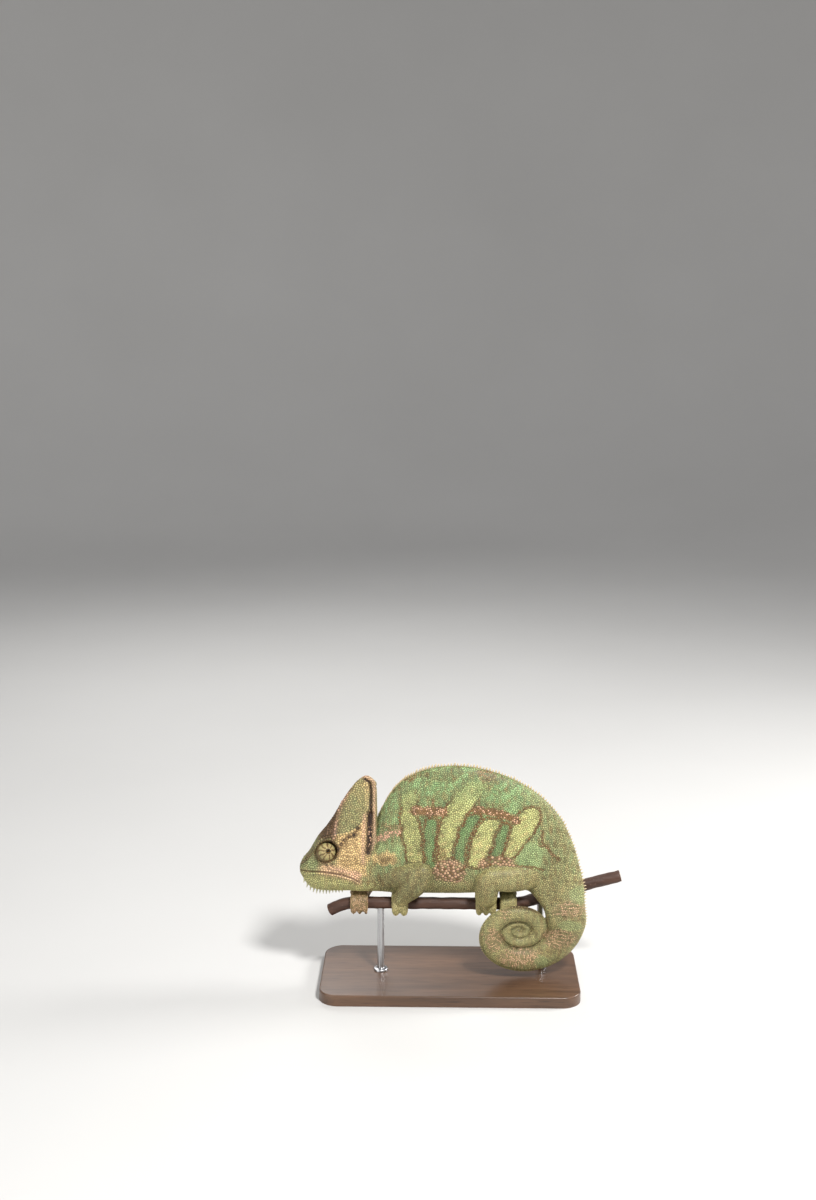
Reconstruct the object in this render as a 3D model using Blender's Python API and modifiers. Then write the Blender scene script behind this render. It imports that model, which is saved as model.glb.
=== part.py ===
"""An adult male veiled chameleon that grips a cut length of branch, on a plain display stand.

The animal faces -X, its left side faces -Y and +Z is up. The origin is the centre of the stand's underside.
Sizes are written in millimetres, and the objects are made in metres.
"""

import math

import bmesh
import bpy
import numpy as np
from mathutils import Matrix, Vector

MM = 0.001
GAP = 0.3  # between pieces that touch

# The stand and the branch
BASE_SIZE = (186.0, 88.0, 8.0)
BASE_CORNER = 14.0
BASE_EDGE = 1.6
ROD_RADIUS = 2.5
ROD_X = (-50.0, 66.0)
GRIP_Z = 60.0
BRANCH_RADIUS = 4.5
BRANCH_POINTS = 40
BRANCH_PATH = (
    (-87.0, 1.5, 53.5),
    (-78.0, 0.4, 58.2),
    (-68.0, 0.0, GRIP_Z),
    (-35.0, 0.0, GRIP_Z),
    (0.0, 0.0, GRIP_Z),
    (30.0, 0.0, GRIP_Z),
    (47.0, 0.6, GRIP_Z),
    (61.0, 6.5, 61.0),
    (76.0, 11.0, 64.0),
    (97.0, 13.0, 69.5),
    (124.0, 14.0, 76.5),
)

# The trunk from the neck to the root of the tail. A station is the outline's upper point, its lower point,
# the half width, and how far the bulk sits below the middle.
TRUNK_STATIONS = (
    ((-52.7, 0, 124.5), (-52.7, 0, 69.0), 10.6, 0.20),
    ((-42.0, 0, 144.0), (-45.0, 0, 68.6), 11.2, 0.26),
    ((-30.0, 0, 155.5), (-32.0, 0, 68.4), 12.2, 0.32),
    ((-12.0, 0, 162.5), (-14.0, 0, 68.4), 13.4, 0.36),
    ((8.0, 0, 163.8), (6.0, 0, 68.6), 14.0, 0.38),
    ((28.0, 0, 160.2), (24.0, 0, 69.4), 13.6, 0.36),
    ((47.0, 0, 153.0), (39.0, 0, 70.6), 12.6, 0.30),
    ((64.0, 0, 141.7), (49.0, 0, 71.2), 11.6, 0.22),
    ((78.0, 0, 126.5), (55.5, 0, 70.6), 10.8, 0.14),
    ((87.5, -1.0, 107.5), (59.5, -2.0, 68.2), 9.8, 0.08),
    ((93.6, -3.5, 88.0), (63.2, -5.5, 64.2), 9.2, 0.04),
    ((96.5, -7.5, 75.0), (67.2, -9.0, 59.2), 8.8, 0.02),
)

# The coiled tail: its outer radius by degrees round the coil, from the rump's side at 0, down and round.
# Each turn's inner outline keeps a clearance to the next turn's outer one, in a plane that leans a little.
COIL_CENTRE = np.array([49.3, -13.0, 45.1])
COIL_OUTER = (
    (-25, 52.4), (0, 47.6), (90, 40.4), (180, 28.0), (270, 24.0), (360, 20.6), (450, 16.4), (540, 12.6),
    (630, 10.4), (720, 9.0), (810, 7.2), (900, 5.4), (990, 4.2), (1080, 3.2), (1320, 0.7), (1500, 0.2),
)
COIL_CLEARANCE = 0.5
COIL_SQUASH = 0.82
COIL_LEAN = math.radians(10)
COIL_YAW = math.radians(7.3)
COIL_FIRST, COIL_LAST, COIL_STEP = -25.0, 960.0, 15.0
COIL_DEGREES_A_KEY = 30
COIL_WIDTH = ((-25, 0.63), (120, 0.70), (400, 0.82), (960, 0.92))  # across, as a share of the thickness

# Where each length starts: at a station's number, and further on at degrees round the coil
TRUNK_PARTS = (("neck", 0.0), ("torso_front", 1.5), ("torso_rear", 4.5), ("tail_root", 8.0))
COIL_PARTS = (("tail_coil_1", -12.0), ("tail_coil_2", 100.0), ("tail_coil_3", 225.0), ("tail_coil_4", 420.0))
RING_SIDES = 20
COIL_SIDES = 14

# The head. A station is x, the lowest and highest z, the brow ridge's z, and the half widths of the
# jaw, the lips, the cheek and the ridge.
HEAD_STATIONS = (
    (-108.0, 82.6, 89.5, 88.0, 1.6, 2.4, 2.4, 1.8),
    (-106.4, 79.6, 92.8, 90.6, 3.0, 4.1, 4.0, 3.2),
    (-104.0, 75.4, 96.0, 93.0, 4.6, 5.9, 5.7, 4.8),
    (-100.5, 71.6, 101.0, 97.5, 6.2, 7.6, 7.2, 6.6),
    (-95.0, 69.6, 110.6, 106.0, 7.8, 9.2, 8.6, 9.2),
    (-88.0, 69.0, 119.6, 113.8, 9.4, 10.8, 9.8, 11.4),
    (-80.0, 69.2, 132.0, 115.6, 10.8, 12.0, 12.0, 11.4),
    (-72.0, 69.6, 145.4, 117.0, 11.6, 12.6, 13.2, 10.6),
    (-65.0, 69.6, 153.6, 121.0, 11.8, 12.6, 13.4, 9.4),
    (-59.0, 69.4, 156.0, 129.0, 11.6, 12.2, 13.0, 7.4),
    (-53.0, 69.0, 151.6, 138.0, 11.2, 11.8, 12.4, 4.6),
)
HEAD_RINGS = 26
MOUTH_LINE = ((-112.0, 85.6), (-104.0, 85.9), (-92.0, 86.9), (-80.0, 86.0), (-70.0, 83.4))
JAW_END = ((-65.0, 78.0), (-63.6, 60.0))
CASQUE_LINE = ((-100.0, 121.6), (-80.0, 120.4), (-62.0, 124.6), (-40.0, 133.0))
NOSTRIL = (-103.2, 4.9, 92.6)
NOSTRIL_RADIUS = 1.0
TROUGH = ((-51.6, 108.0, 7.4), (-51.6, 130.0, 4.6), (-51.8, 149.0, 0.9))

# The eye turrets: the fused lids are a low cone with a round opening over the eyeball
EYE_CENTRE = (-88.4, 9.2, 102.0)
EYE_AXES = {"left": Vector((0.28, -0.87, 0.36)), "right": Vector((-0.2, 0.95, 0.2))}
EYEBALL_RADIUS = 4.4
LID_RADIUS = 6.7
LID_HEIGHT = 6.2
LID_OPENING = 1.3
LID_STEPS = 16

# The limbs. Each joint is its place (x, y, z) and its radius in the limb's own plane.
LIMBS = {
    "fore_left": {
        "side": -1,
        "names": ("upper_arm_left", "forearm_left", "forefoot_left"),
        "upper": ((-43.5, -4.5, 81.6, 8.4), (-31.5, -12.4, 86.0, 7.8), (-20.8, -16.6, 89.2, 7.6)),
        "lower": ((-20.0, -17.0, 89.2, 7.8), (-25.4, -15.5, 79.6, 8.6), (-34.6, -9.6, 67.6, 6.0)),
        "grip_x": -36.0,
        "bundle_width": 12.0,
        "outer_toes": 2,
    },
    "fore_right": {
        "side": 1,
        "names": ("upper_arm_right", "forearm_right", "forefoot_right"),
        "upper": ((-34.0, 7.0, 82.0, 8.0), (-37.0, 14.0, 82.5, 7.4), (-40.0, 19.0, 83.0, 7.0)),
        "lower": ((-41.0, 20.0, 83.0, 7.4), (-51.5, 15.6, 77.0, 7.8), (-62.6, 8.8, 67.6, 6.6)),
        "grip_x": -65.0,
        "bundle_width": 13.6,
        "outer_toes": 2,
    },
    "hind_left": {
        "side": -1,
        "names": ("thigh_left", "shin_left", "hindfoot_left"),
        "upper": ((66.0, -1.5, 85.0, 9.6), (46.0, -10.4, 83.6, 10.0), (28.5, -14.5, 84.4, 8.4)),
        "lower": ((27.0, -14.5, 83.0, 8.8), (26.2, -13.0, 76.5, 8.8), (26.0, -9.8, 68.5, 8.0)),
        "grip_x": 26.0,
        "bundle_width": 15.0,
        "outer_toes": 3,
    },
    "hind_right": {
        "side": 1,
        "names": ("thigh_right", "shin_right", "hindfoot_right"),
        "upper": ((66.0, 1.5, 85.0, 9.6), (48.0, 10.6, 84.4, 9.6), (34.0, 14.5, 86.0, 8.2)),
        "lower": ((33.0, 14.5, 86.0, 8.2), (36.0, 13.4, 78.0, 7.2), (41.6, 9.4, 67.4, 5.8)),
        "grip_x": 42.0,
        "bundle_width": 12.0,
        "outer_toes": 3,
    },
}
LIMB_ACROSS = 0.78  # of that radius
LIMB_SIDES = 12
TOE_COUNT = 5
TOE_TAPER = (0.72, 1.0, 1.0, 0.96, 0.9, 0.6)
TOE_REACH = (78.0, -58.0)  # degrees round the branch, from near its top to its underside
TOE_FULLNESS = 0.54  # of the distance between toes, so that they fuse
CLAW_ARC = math.radians(26)
CLAW_RADII = (1.0, 0.8, 0.5, 0.2)
PALM = (0.56, 6.6, 3.4)  # its first half length is a share of the bundle's width

# Rows of spines
CREST_SPACING = 4.4
CREST_HEIGHTS = ((0.0, 1.6), (0.15, 2.9), (0.5, 2.5), (0.8, 1.7), (1.0, 1.2))
CREST_END = 110.0  # degrees round the coil
CREST_WIDTH = (0.35, 0.44)  # a spine's base radius: this much, and this share of its height
SPINE_MARGIN = 0.1  # kept free at each end of a length, in stations
SPINE_SIDES = 4
SPINE_SINK = 1.0
SPINE_LEAN = 0.18  # towards the tail, as a share of its height
GULAR_SPINES = 11
GULAR_X = (-104.0, -80.0)
GULAR_LENGTH = 3.9
GULAR_WIDTH = 0.95

COLOURS = {
    "skin_green": ((0.36, 0.50, 0.27, 1), 0.62),
    "skin_limb": ((0.48, 0.52, 0.30, 1), 0.62),
    "skin_head": ((0.52, 0.47, 0.27, 1), 0.6),
    "lid": ((0.45, 0.47, 0.31, 1), 0.55),
    "eye": ((0.02, 0.015, 0.01, 1), 0.12),
    "bark": ((0.20, 0.10, 0.07, 1), 0.7),
    "walnut": ((0.10, 0.065, 0.045, 1), 0.45),
    "steel": ((0.55, 0.55, 0.56, 1), 0.3),
}


def clear_scene():
    for obj in list(bpy.data.objects):
        bpy.data.objects.remove(obj)


def material(name):
    found = bpy.data.materials.get(name)
    if found:
        return found
    colour, roughness = COLOURS[name]
    made = bpy.data.materials.new(name)
    made.use_nodes = True
    shader = made.node_tree.nodes["Principled BSDF"]
    shader.inputs["Base Color"].default_value = colour
    shader.inputs["Roughness"].default_value = roughness
    shader.inputs["Metallic"].default_value = 1.0 if name == "steel" else 0.0
    return made


def collection(name):
    found = bpy.data.collections.get(name)
    if not found:
        found = bpy.data.collections.new(name)
        bpy.context.scene.collection.children.link(found)
    return found


def add_object(name, bm, slot, group="veiled_chameleon"):
    """A new object from a bmesh in millimetres, its faces turned outwards."""
    bmesh.ops.remove_doubles(bm, verts=bm.verts, dist=1e-4)
    bmesh.ops.recalc_face_normals(bm, faces=bm.faces)
    bmesh.ops.scale(bm, vec=(MM, MM, MM), verts=bm.verts)
    mesh = bpy.data.meshes.new(name)
    bm.to_mesh(mesh)
    bm.free()
    if slot:
        mesh.materials.append(material(slot))
    obj = bpy.data.objects.new(name, mesh)
    collection(group).objects.link(obj)
    return obj


def cutter(name, bm):
    obj = add_object(name, bm, None, "cutters")
    obj.hide_render = True
    obj.display_type = "WIRE"
    return obj


def curve_through(keys, rows, at):
    """A smooth curve through rows of numbers, one row to a key, read at the keys in `at`."""
    keys, rows, at = (np.asarray(values, float) for values in (keys, rows, at))
    slopes = np.gradient(rows, keys, axis=0)
    i = np.clip(np.searchsorted(keys, at, side="right") - 1, 0, len(keys) - 2)
    span = (keys[i + 1] - keys[i])[:, None]
    t = (at - keys[i])[:, None] / span
    return (
        (2 * t**3 - 3 * t**2 + 1) * rows[i]
        + (t**3 - 2 * t**2 + t) * span * slopes[i]
        + (3 * t**2 - 2 * t**3) * rows[i + 1]
        + (t**3 - t**2) * span * slopes[i + 1]
    )


def loft(rings):
    """A closed bmesh through rings of points, all with as many points, capped at both ends."""
    bm = bmesh.new()
    made = [[bm.verts.new(point) for point in ring] for ring in rings]
    for low, high in zip(made, made[1:]):
        for i in range(len(low)):
            j = (i + 1) % len(low)
            bm.faces.new((low[i], low[j], high[j], high[i]))
    bm.faces.new(made[0])
    bm.faces.new(made[-1])
    return bm


def coil_radius(degrees):
    """The coil's outer radius, read smoothly from the named ones."""
    table = np.array(COIL_OUTER, float)
    return float(np.exp(curve_through(table[:, 0], np.log(table[:, 1:]), [degrees])[0, 0]))


def coil_station(degrees):
    """A station of the tail, in the trunk's own terms, at so many degrees round the coil."""
    turn = math.radians(degrees)
    outer, inner = coil_radius(degrees), coil_radius(degrees + 360) + COIL_CLEARANCE

    def on_plane(radius):
        across = radius * math.cos(turn)
        down = radius * math.sin(turn) * COIL_SQUASH
        lean = across * math.tan(COIL_YAW) + down * math.sin(COIL_LEAN)
        return COIL_CENTRE + (across, lean, -down * math.cos(COIL_LEAN))

    half_width = 0.5 * (outer - inner) * np.interp(degrees, *zip(*COIL_WIDTH))
    return np.concatenate([on_plane(outer), on_plane(inner), [half_width, 0.02]])


def trunk_rows():
    """Keys and rows of every station: the trunk's, keyed by number, then the coil's."""
    rows = [np.array([*upper, *lower, width, bulk]) for upper, lower, width, bulk in TRUNK_STATIONS]
    keys = list(range(len(rows)))
    for degrees in np.arange(COIL_FIRST, COIL_LAST + 1, COIL_STEP):
        keys.append(coil_key(degrees))
        rows.append(coil_station(degrees))
    return np.array(keys, float), np.array(rows)


def coil_key(degrees):
    return len(TRUNK_STATIONS) + (degrees - COIL_FIRST) / COIL_DEGREES_A_KEY


def trunk_ring(row, ahead, sides, grow):
    """The points of one section: a ridge above and below, and the bulk below the middle."""
    upper, lower = row[0:3], row[3:6]
    rise = (upper - lower) / np.linalg.norm(upper - lower)
    across = np.cross(rise, ahead)
    across /= np.linalg.norm(across)
    middle, half_height = (upper + lower) / 2, np.linalg.norm(upper - lower) / 2 + grow
    points = []
    for i in range(sides):
        angle = 2 * math.pi * i / sides - math.pi / 2
        bulge = 1 - row[7] * math.sin(angle)
        wide = math.copysign(abs(math.cos(angle)) ** 0.88, math.cos(angle)) * bulge * row[6]
        wide += math.copysign(grow, wide) if abs(wide) > 1e-6 else 0
        points.append(middle + rise * half_height * math.sin(angle) + across * wide)
    return points


def trunk_loft(start, end, count, sides=RING_SIDES, grow=0.0):
    """The trunk from one key to another."""
    keys, rows = trunk_rows()
    at = np.linspace(start, end, count)
    change = curve_through(keys, rows, at + 0.02) - curve_through(keys, rows, at - 0.02)
    ahead = change[:, 0:3] + change[:, 3:6]
    ahead /= np.linalg.norm(ahead, axis=1)[:, None]
    return loft([trunk_ring(row, way, sides, grow) for row, way in zip(curve_through(keys, rows, at), ahead)])


def tube(name, points, radii, resolution=2, slot=None, group="cutters"):
    """A closed tube round a path, made as a curve and turned into a mesh."""
    curve = bpy.data.curves.new(name, "CURVE")
    curve.dimensions = "3D"
    curve.bevel_depth = MM
    curve.bevel_resolution = resolution
    curve.use_fill_caps = True
    spline = curve.splines.new("POLY")
    spline.points.add(len(points) - 1)
    for knot, point, radius in zip(spline.points, points, radii):
        knot.co = (*(Vector(point) * MM), 1)
        knot.radius = radius
    guide = bpy.data.objects.new(name, curve)
    collection(group).objects.link(guide)
    bm = bmesh.new()
    bm.from_mesh(guide.evaluated_get(bpy.context.evaluated_depsgraph_get()).to_mesh())
    bpy.data.objects.remove(guide)
    bmesh.ops.scale(bm, vec=(1 / MM, 1 / MM, 1 / MM), verts=bm.verts)
    return add_object(name, bm, slot, group)


def branch_points():
    last = len(BRANCH_PATH) - 1
    return curve_through(range(last + 1), BRANCH_PATH, np.linspace(0, last, BRANCH_POINTS))


def branch_clearance():
    return tube("branch_clearance", branch_points(), [BRANCH_RADIUS + GAP] * BRANCH_POINTS, resolution=5)


def boolean(obj, others, operation):
    """Applies one Boolean with a list of mesh objects, and removes them."""
    group = bpy.data.collections.new("operands")
    bpy.context.scene.collection.children.link(group)
    for other in others:
        group.objects.link(other)
    modifier = obj.modifiers.new("shape", "BOOLEAN")
    modifier.operation = operation
    modifier.operand_type = "COLLECTION"
    modifier.collection = group
    graph = bpy.context.evaluated_depsgraph_get()
    mesh = bpy.data.meshes.new_from_object(obj.evaluated_get(graph))
    obj.modifiers.clear()
    old, obj.data = obj.data, mesh
    bpy.data.meshes.remove(old)
    mesh.name = obj.name
    for other in others:
        bpy.data.objects.remove(other)
    bpy.data.collections.remove(group)
    return obj


def islands(bm):
    """The connected pieces of a bmesh, each a list of faces, the largest box first."""
    left, found = set(bm.faces), []
    while left:
        stack, piece = [left.pop()], []
        while stack:
            face = stack.pop()
            piece.append(face)
            near = {other for edge in face.edges for other in edge.link_faces} & left
            left -= near
            stack.extend(near)
        found.append(piece)

    def reach(piece):
        places = np.array([v.co for face in piece for v in face.verts])
        return float(np.prod(np.ptp(places, axis=0)))

    return sorted(found, key=reach, reverse=True)


def keep_largest(obj):
    """Drops all but the largest closed surface."""
    bm = bmesh.new()
    bm.from_mesh(obj.data)
    for scrap in islands(bm)[1:]:
        bmesh.ops.delete(bm, geom=scrap, context="FACES")
    loose = [v for v in bm.verts if not v.link_faces]
    bmesh.ops.delete(bm, geom=loose, context="VERTS")
    midway = [v for v in bm.verts if len(v.link_edges) == 2]
    bmesh.ops.dissolve_verts(bm, verts=midway)
    bmesh.ops.triangulate(bm, faces=bm.faces)
    bmesh.ops.recalc_face_normals(bm, faces=bm.faces)
    bm.to_mesh(obj.data)
    bm.free()
    return obj


def part_pieces(obj, names):
    """Splits an object into its largest closed surfaces, one to a name, from the highest down."""
    bm = bmesh.new()
    bm.from_mesh(obj.data)
    pieces = islands(bm)[: len(names)]
    pieces.sort(key=lambda piece: -max(v.co.z for face in piece for v in face.verts))
    made = []
    for name, piece in zip(names, pieces):
        part = bmesh.new()
        places = {}
        for face in piece:
            for vert in face.verts:
                if vert not in places:
                    places[vert] = part.verts.new(vert.co / MM)
            part.faces.new([places[vert] for vert in face.verts])
        made.append(keep_largest(add_object(name, part, "skin_head")))
    bm.free()
    bpy.data.objects.remove(obj)
    return made


def spine(name, root, direction, back, height, width):
    """A cone of few sides, its root sunk below the surface and its tip leaning back."""
    root, direction, back = Vector(root), Vector(direction).normalized(), Vector(back).normalized()
    axis = (direction + back * SPINE_LEAN).normalized()
    foot = root - axis * SPINE_SINK
    turn = Vector((0, 0, 1)).rotation_difference(axis).to_matrix().to_4x4()
    length = height + SPINE_SINK
    bm = bmesh.new()
    bmesh.ops.create_cone(bm, cap_ends=True, segments=SPINE_SIDES, radius1=width, radius2=0.0, depth=length,
                          matrix=Matrix.Translation(foot + axis * length / 2) @ turn)
    return add_object(name, bm, None, "cutters")


def crest_places(start, end):
    """Roots, directions, ways back and heights of the crest's spines between two keys of the trunk."""
    keys, rows = trunk_rows()
    last = coil_key(CREST_END)
    at = np.linspace(0.0, last, 900)
    line = curve_through(keys, rows, at)
    steps = np.linalg.norm(np.diff(line[:, 0:3], axis=0), axis=1)
    length = np.concatenate([[0.0], np.cumsum(steps)])
    count = int(length[-1] / CREST_SPACING)
    found = []
    for i in range(count):
        share = (i + 0.6) / count
        key = float(np.interp(share * length[-1], length, at))
        if not start + SPINE_MARGIN < key < end - SPINE_MARGIN:
            continue
        here, onward = curve_through(keys, rows, [key, key + 0.02])
        height = float(np.interp(share, *zip(*CREST_HEIGHTS)))
        found.append((here[0:3], here[0:3] - here[3:6], onward[0:3] - here[0:3], height))
    return found


def make_trunk():
    """The neck, torso and tail, each its own length of one loft, with the crest's spines."""
    parts = [(name, start, RING_SIDES) for name, start in TRUNK_PARTS]
    parts += [(name, coil_key(start), COIL_SIDES) for name, start in COIL_PARTS]
    ends = [start for _, start, _ in parts[1:]] + [coil_key(COIL_LAST)]
    for (name, start, sides), end in zip(parts, ends):
        first = start + (part_gap(start) if start > 0 else 0)
        last = end - (part_gap(end) if end < ends[-1] else 0)
        count = 2 + round((end - start) * (4 if sides == RING_SIDES else 1.7))
        obj = add_object(name, trunk_loft(first, last, count, sides), "skin_green")
        spines = []
        for i, (root, out, back, height) in enumerate(crest_places(first, last)):
            width = CREST_WIDTH[0] + CREST_WIDTH[1] * height
            spines.append(spine(f"{name}_spine_{i}", root, out, back, height, width))
        if spines:
            keep_largest(boolean(obj, spines, "UNION"))


def part_gap(key):
    """Half a gap, as a step in the trunk's keys, where the lower outline is the shorter."""
    keys, rows = trunk_rows()
    before, after = curve_through(keys, rows, [key - 0.01, key + 0.01])
    pace = min(np.linalg.norm((after - before)[i:i + 3]) for i in (0, 3)) / 0.02
    return 0.55 * GAP / pace


def mouth_z(x):
    return float(np.interp(x, *zip(*MOUTH_LINE)))


def head_ring(row):
    """One section of the head: keel, throat, jaw, lips, cheek, brow ridge and the roof or casque above."""
    x, low, high, ridge, jaw, lip, cheek, brow = row
    mouth = min(max(mouth_z(x), low + 1.6), ridge - 1.6)
    roof = float(np.interp(x, (-100.0, -70.0), (0.72, 1.12)))
    levels = [
        (low, 0.0),
        (low + 0.1 * (mouth - low), 0.42 * jaw),
        (low + 0.38 * (mouth - low), 0.84 * jaw),
        (low + 0.74 * (mouth - low), jaw),
        (mouth - 0.9, lip),
        (mouth + 0.9, lip * 1.02),
        (mouth + 0.2 * (ridge - mouth), 0.5 * (lip + cheek) - 0.35),
        (mouth + 0.5 * (ridge - mouth), cheek),
        (mouth + 0.82 * (ridge - mouth), 0.45 * cheek + 0.55 * brow - 0.5),
        (ridge, brow),
    ]
    for share in (0.2, 0.5, 0.8):
        levels.append((ridge + share * (high - ridge), brow * (1 - share) ** roof + 0.25))
    levels += [(high - 0.3, 0.75), (high, 0.0)]
    left = [Vector((x, -wide, z)) for z, wide in levels]
    right = [Vector((x, wide, z)) for z, wide in levels[-2:0:-1]]
    return left + right


def head_loft(grow=0.0):
    """The whole head with its casque, the mouth not yet cut."""
    stations = np.array(HEAD_STATIONS)
    share = np.linspace(0, 1, HEAD_RINGS)
    at = stations[0, 0] + (stations[-1, 0] - stations[0, 0]) * share**1.25
    rows = curve_through(stations[:, 0], stations, at)
    rows[:, 1] -= grow
    rows[:, 2] += grow
    rows[:, 4:] += grow
    rows[0, 0] -= grow
    rows[-1, 0] += grow
    return loft([head_ring(row) for row in rows])


def slab(name, line, half_depth=40.0):
    """A thin sheet along a line in the XZ plane, as thick as the gap, right through the head."""
    points = np.asarray(line, float)
    normals = np.gradient(points, axis=0)[:, ::-1] * (-1, 1)
    normals /= np.linalg.norm(normals, axis=1)[:, None]
    outline = [*(points + normals * GAP / 2), *(points - normals * GAP / 2)[::-1]]
    bm = bmesh.new()
    front = [bm.verts.new((x, -half_depth, z)) for x, z in outline]
    back = [bm.verts.new((x, half_depth, z)) for x, z in outline]
    count, side = len(outline), len(points)
    for i in range(count):
        j = (i + 1) % count
        bm.faces.new((front[i], front[j], back[j], back[i]))
    for i in range(side - 1):
        for row in (front, back):
            bm.faces.new((row[i], row[i + 1], row[count - 2 - i], row[count - 1 - i]))
    return cutter(name, bm)


def smooth_line(line, count):
    return curve_through(range(len(line)), line, np.linspace(0, len(line) - 1, count))


def ball(name, centre, radii, group="cutters", slot=None, segments=16):
    bm = bmesh.new()
    bmesh.ops.create_uvsphere(bm, u_segments=segments, v_segments=segments // 2, radius=1.0)
    bmesh.ops.scale(bm, vec=radii, verts=bm.verts)
    bmesh.ops.translate(bm, vec=centre, verts=bm.verts)
    return add_object(name, bm, slot, group)


def turned(name, profile, centre, axis, slot, group="veiled_chameleon", closed=True):
    """A solid turned about an axis by a Screw modifier. The profile is (radius, height), outer side first."""
    bm = bmesh.new()
    verts = [bm.verts.new((radius * MM, 0, height * MM)) for radius, height in profile]
    for low, high in zip(verts, verts[1:]):
        bm.edges.new((low, high))
    if closed:
        bm.edges.new((verts[-1], verts[0]))
    mesh = bpy.data.meshes.new(name)
    bm.to_mesh(mesh)
    bm.free()
    if slot:
        mesh.materials.append(material(slot))
    obj = bpy.data.objects.new(name, mesh)
    collection(group).objects.link(obj)
    obj.location = Vector(centre) * MM
    obj.rotation_euler = Vector((0, 0, 1)).rotation_difference(axis).to_euler()
    screw = obj.modifiers.new("turn", "SCREW")
    screw.steps = screw.render_steps = LID_STEPS
    screw.use_merge_vertices = True
    screw.merge_threshold = 1e-6
    return obj


def lid_profile():
    """The inside round the eyeball, from the opening down, then the outside from the rim up."""
    hollow = EYEBALL_RADIUS + GAP
    slope = ((1.0, 0.0), (0.97, 0.22), (0.84, 0.48), (0.62, 0.72), (0.4, 0.9), (0.28, 0.97))
    outside = [(LID_RADIUS * wide, LID_HEIGHT * up) for wide, up in slope]
    inside = [(hollow * math.sin(a), hollow * math.cos(a) + LID_HEIGHT - hollow - 0.75)
              for a in (1.55, 1.15, 0.7, math.asin(LID_OPENING / hollow))]
    return [*outside[::-1], *inside, (LID_OPENING, LID_HEIGHT * 0.99)]


def make_eye(side):
    centre = Vector(EYE_CENTRE)
    centre.y = math.copysign(centre.y, EYE_AXES[side].y)
    axis = EYE_AXES[side].normalized()
    turned(f"lid_{side}", lid_profile(), centre, axis, "lid")
    ball_centre = centre + axis * (LID_HEIGHT - EYEBALL_RADIUS - GAP - 0.75)
    ball(f"eye_{side}", ball_centre, [EYEBALL_RADIUS] * 3, "veiled_chameleon", "eye", 18)
    rim = LID_RADIUS + GAP
    socket = [(0.0, 6.0), (rim, 6.0), (rim, -GAP), (LID_RADIUS * 0.7, -4.2), (0.0, -5.0)]
    return turned(f"socket_{side}", socket, centre, axis, None, "cutters", closed=False)


def make_head():
    """The head, with the lower jaw and the casque parted from it by thin cuts."""
    head = add_object("head_whole", head_loft(), "skin_head")
    cuts = [make_eye(side) for side in EYE_AXES]
    for side in (-1, 1):
        place = (NOSTRIL[0], side * NOSTRIL[1], NOSTRIL[2])
        cuts.append(ball(f"nostril_{side}", place, [NOSTRIL_RADIUS] * 3, segments=8))
    trough = [(x, 0, z) for x, z, _ in TROUGH]
    cuts.append(tube("trough", trough, [radius for _, _, radius in TROUGH], 3))
    cuts.append(slab("mouth_cut", smooth_line(MOUTH_LINE + JAW_END, 15)))
    cuts.append(slab("casque_cut", smooth_line(CASQUE_LINE, 6)))
    boolean(head, cuts, "DIFFERENCE")
    _, _, jaw = part_pieces(head, ("casque", "head", "jaw"))
    add_gular_spines(jaw)


def add_gular_spines(jaw):
    stations = np.array(HEAD_STATIONS)
    spines = []
    for i in range(GULAR_SPINES):
        share = i / (GULAR_SPINES - 1)
        x = GULAR_X[0] + share * (GULAR_X[1] - GULAR_X[0])
        low = float(np.interp(x, stations[:, 0], stations[:, 1]))
        length = GULAR_LENGTH * (0.7 + 0.3 * math.sin(math.pi * min(1.0, share * 1.3))) * (1 - 0.35 * share)
        forward = -0.35 * (1 - share)
        root = (x, 0, low + 0.2)
        spines.append(spine(f"gular_{i}", root, (forward, 0, -1), (1, 0, 0), length, GULAR_WIDTH))
    keep_largest(boolean(jaw, spines, "UNION"))


def limb_loft(joints, grow=0.0):
    """A limb's length: rings round a bent path, narrower across than in the limb's plane, with round ends."""
    rows = curve_through(range(len(joints)), joints, np.linspace(0, len(joints) - 1, 6))
    along = np.gradient(rows[:, 0:3], axis=0)
    along /= np.linalg.norm(along, axis=1)[:, None]
    sections = [(row[0:3], row[3] + grow, way) for row, way in zip(rows, along)]
    for slope in (math.radians(38), math.radians(70)):
        for end, sign in ((0, -1), (-1, 1)):
            centre, radius, way = rows[end, 0:3], rows[end, 3] + grow, along[end]
            cap = (centre + way * sign * radius * math.sin(slope) * 0.9, radius * math.cos(slope), way)
            sections.insert(0 if end == 0 else len(sections), cap)
    rings = []
    for centre, radius, way in sections:
        inward = np.cross(way, (0.0, 1.0, 0.0))
        inward /= np.linalg.norm(inward)
        across = np.cross(way, inward)
        ring = []
        for i in range(LIMB_SIDES):
            turn = 2 * math.pi * i / LIMB_SIDES
            ring.append(centre + radius * (math.cos(turn) * inward + LIMB_ACROSS * math.sin(turn) * across))
        rings.append(ring)
    return loft(rings)


def grip_arc(x, side, first, last, reaches):
    """Points round the branch's axis, from one angle to another, as far out as each reach."""
    angles = np.linspace(first, last, len(reaches))
    return [(x, side * reach * math.cos(angle), GRIP_Z + reach * math.sin(angle))
            for angle, reach in zip(angles, reaches)]


def toe(name, x, side, radius):
    """One toe round the branch, ending in a claw."""
    start, end = (math.radians(angle) for angle in TOE_REACH)
    middle = BRANCH_RADIUS + GAP + radius
    finger = grip_arc(x, side, start, end, [middle - 0.1 * radius * i / 5 for i in range(6)])
    hook = grip_arc(x, side, end + 0.14, end - CLAW_ARC, [middle + 0.4 - 0.17 * i for i in range(4)])
    return [tube(f"{name}_toe", finger, [radius * share for share in TOE_TAPER], resolution=1),
            tube(f"{name}_claw", hook, CLAW_RADII, resolution=0)]


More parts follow.
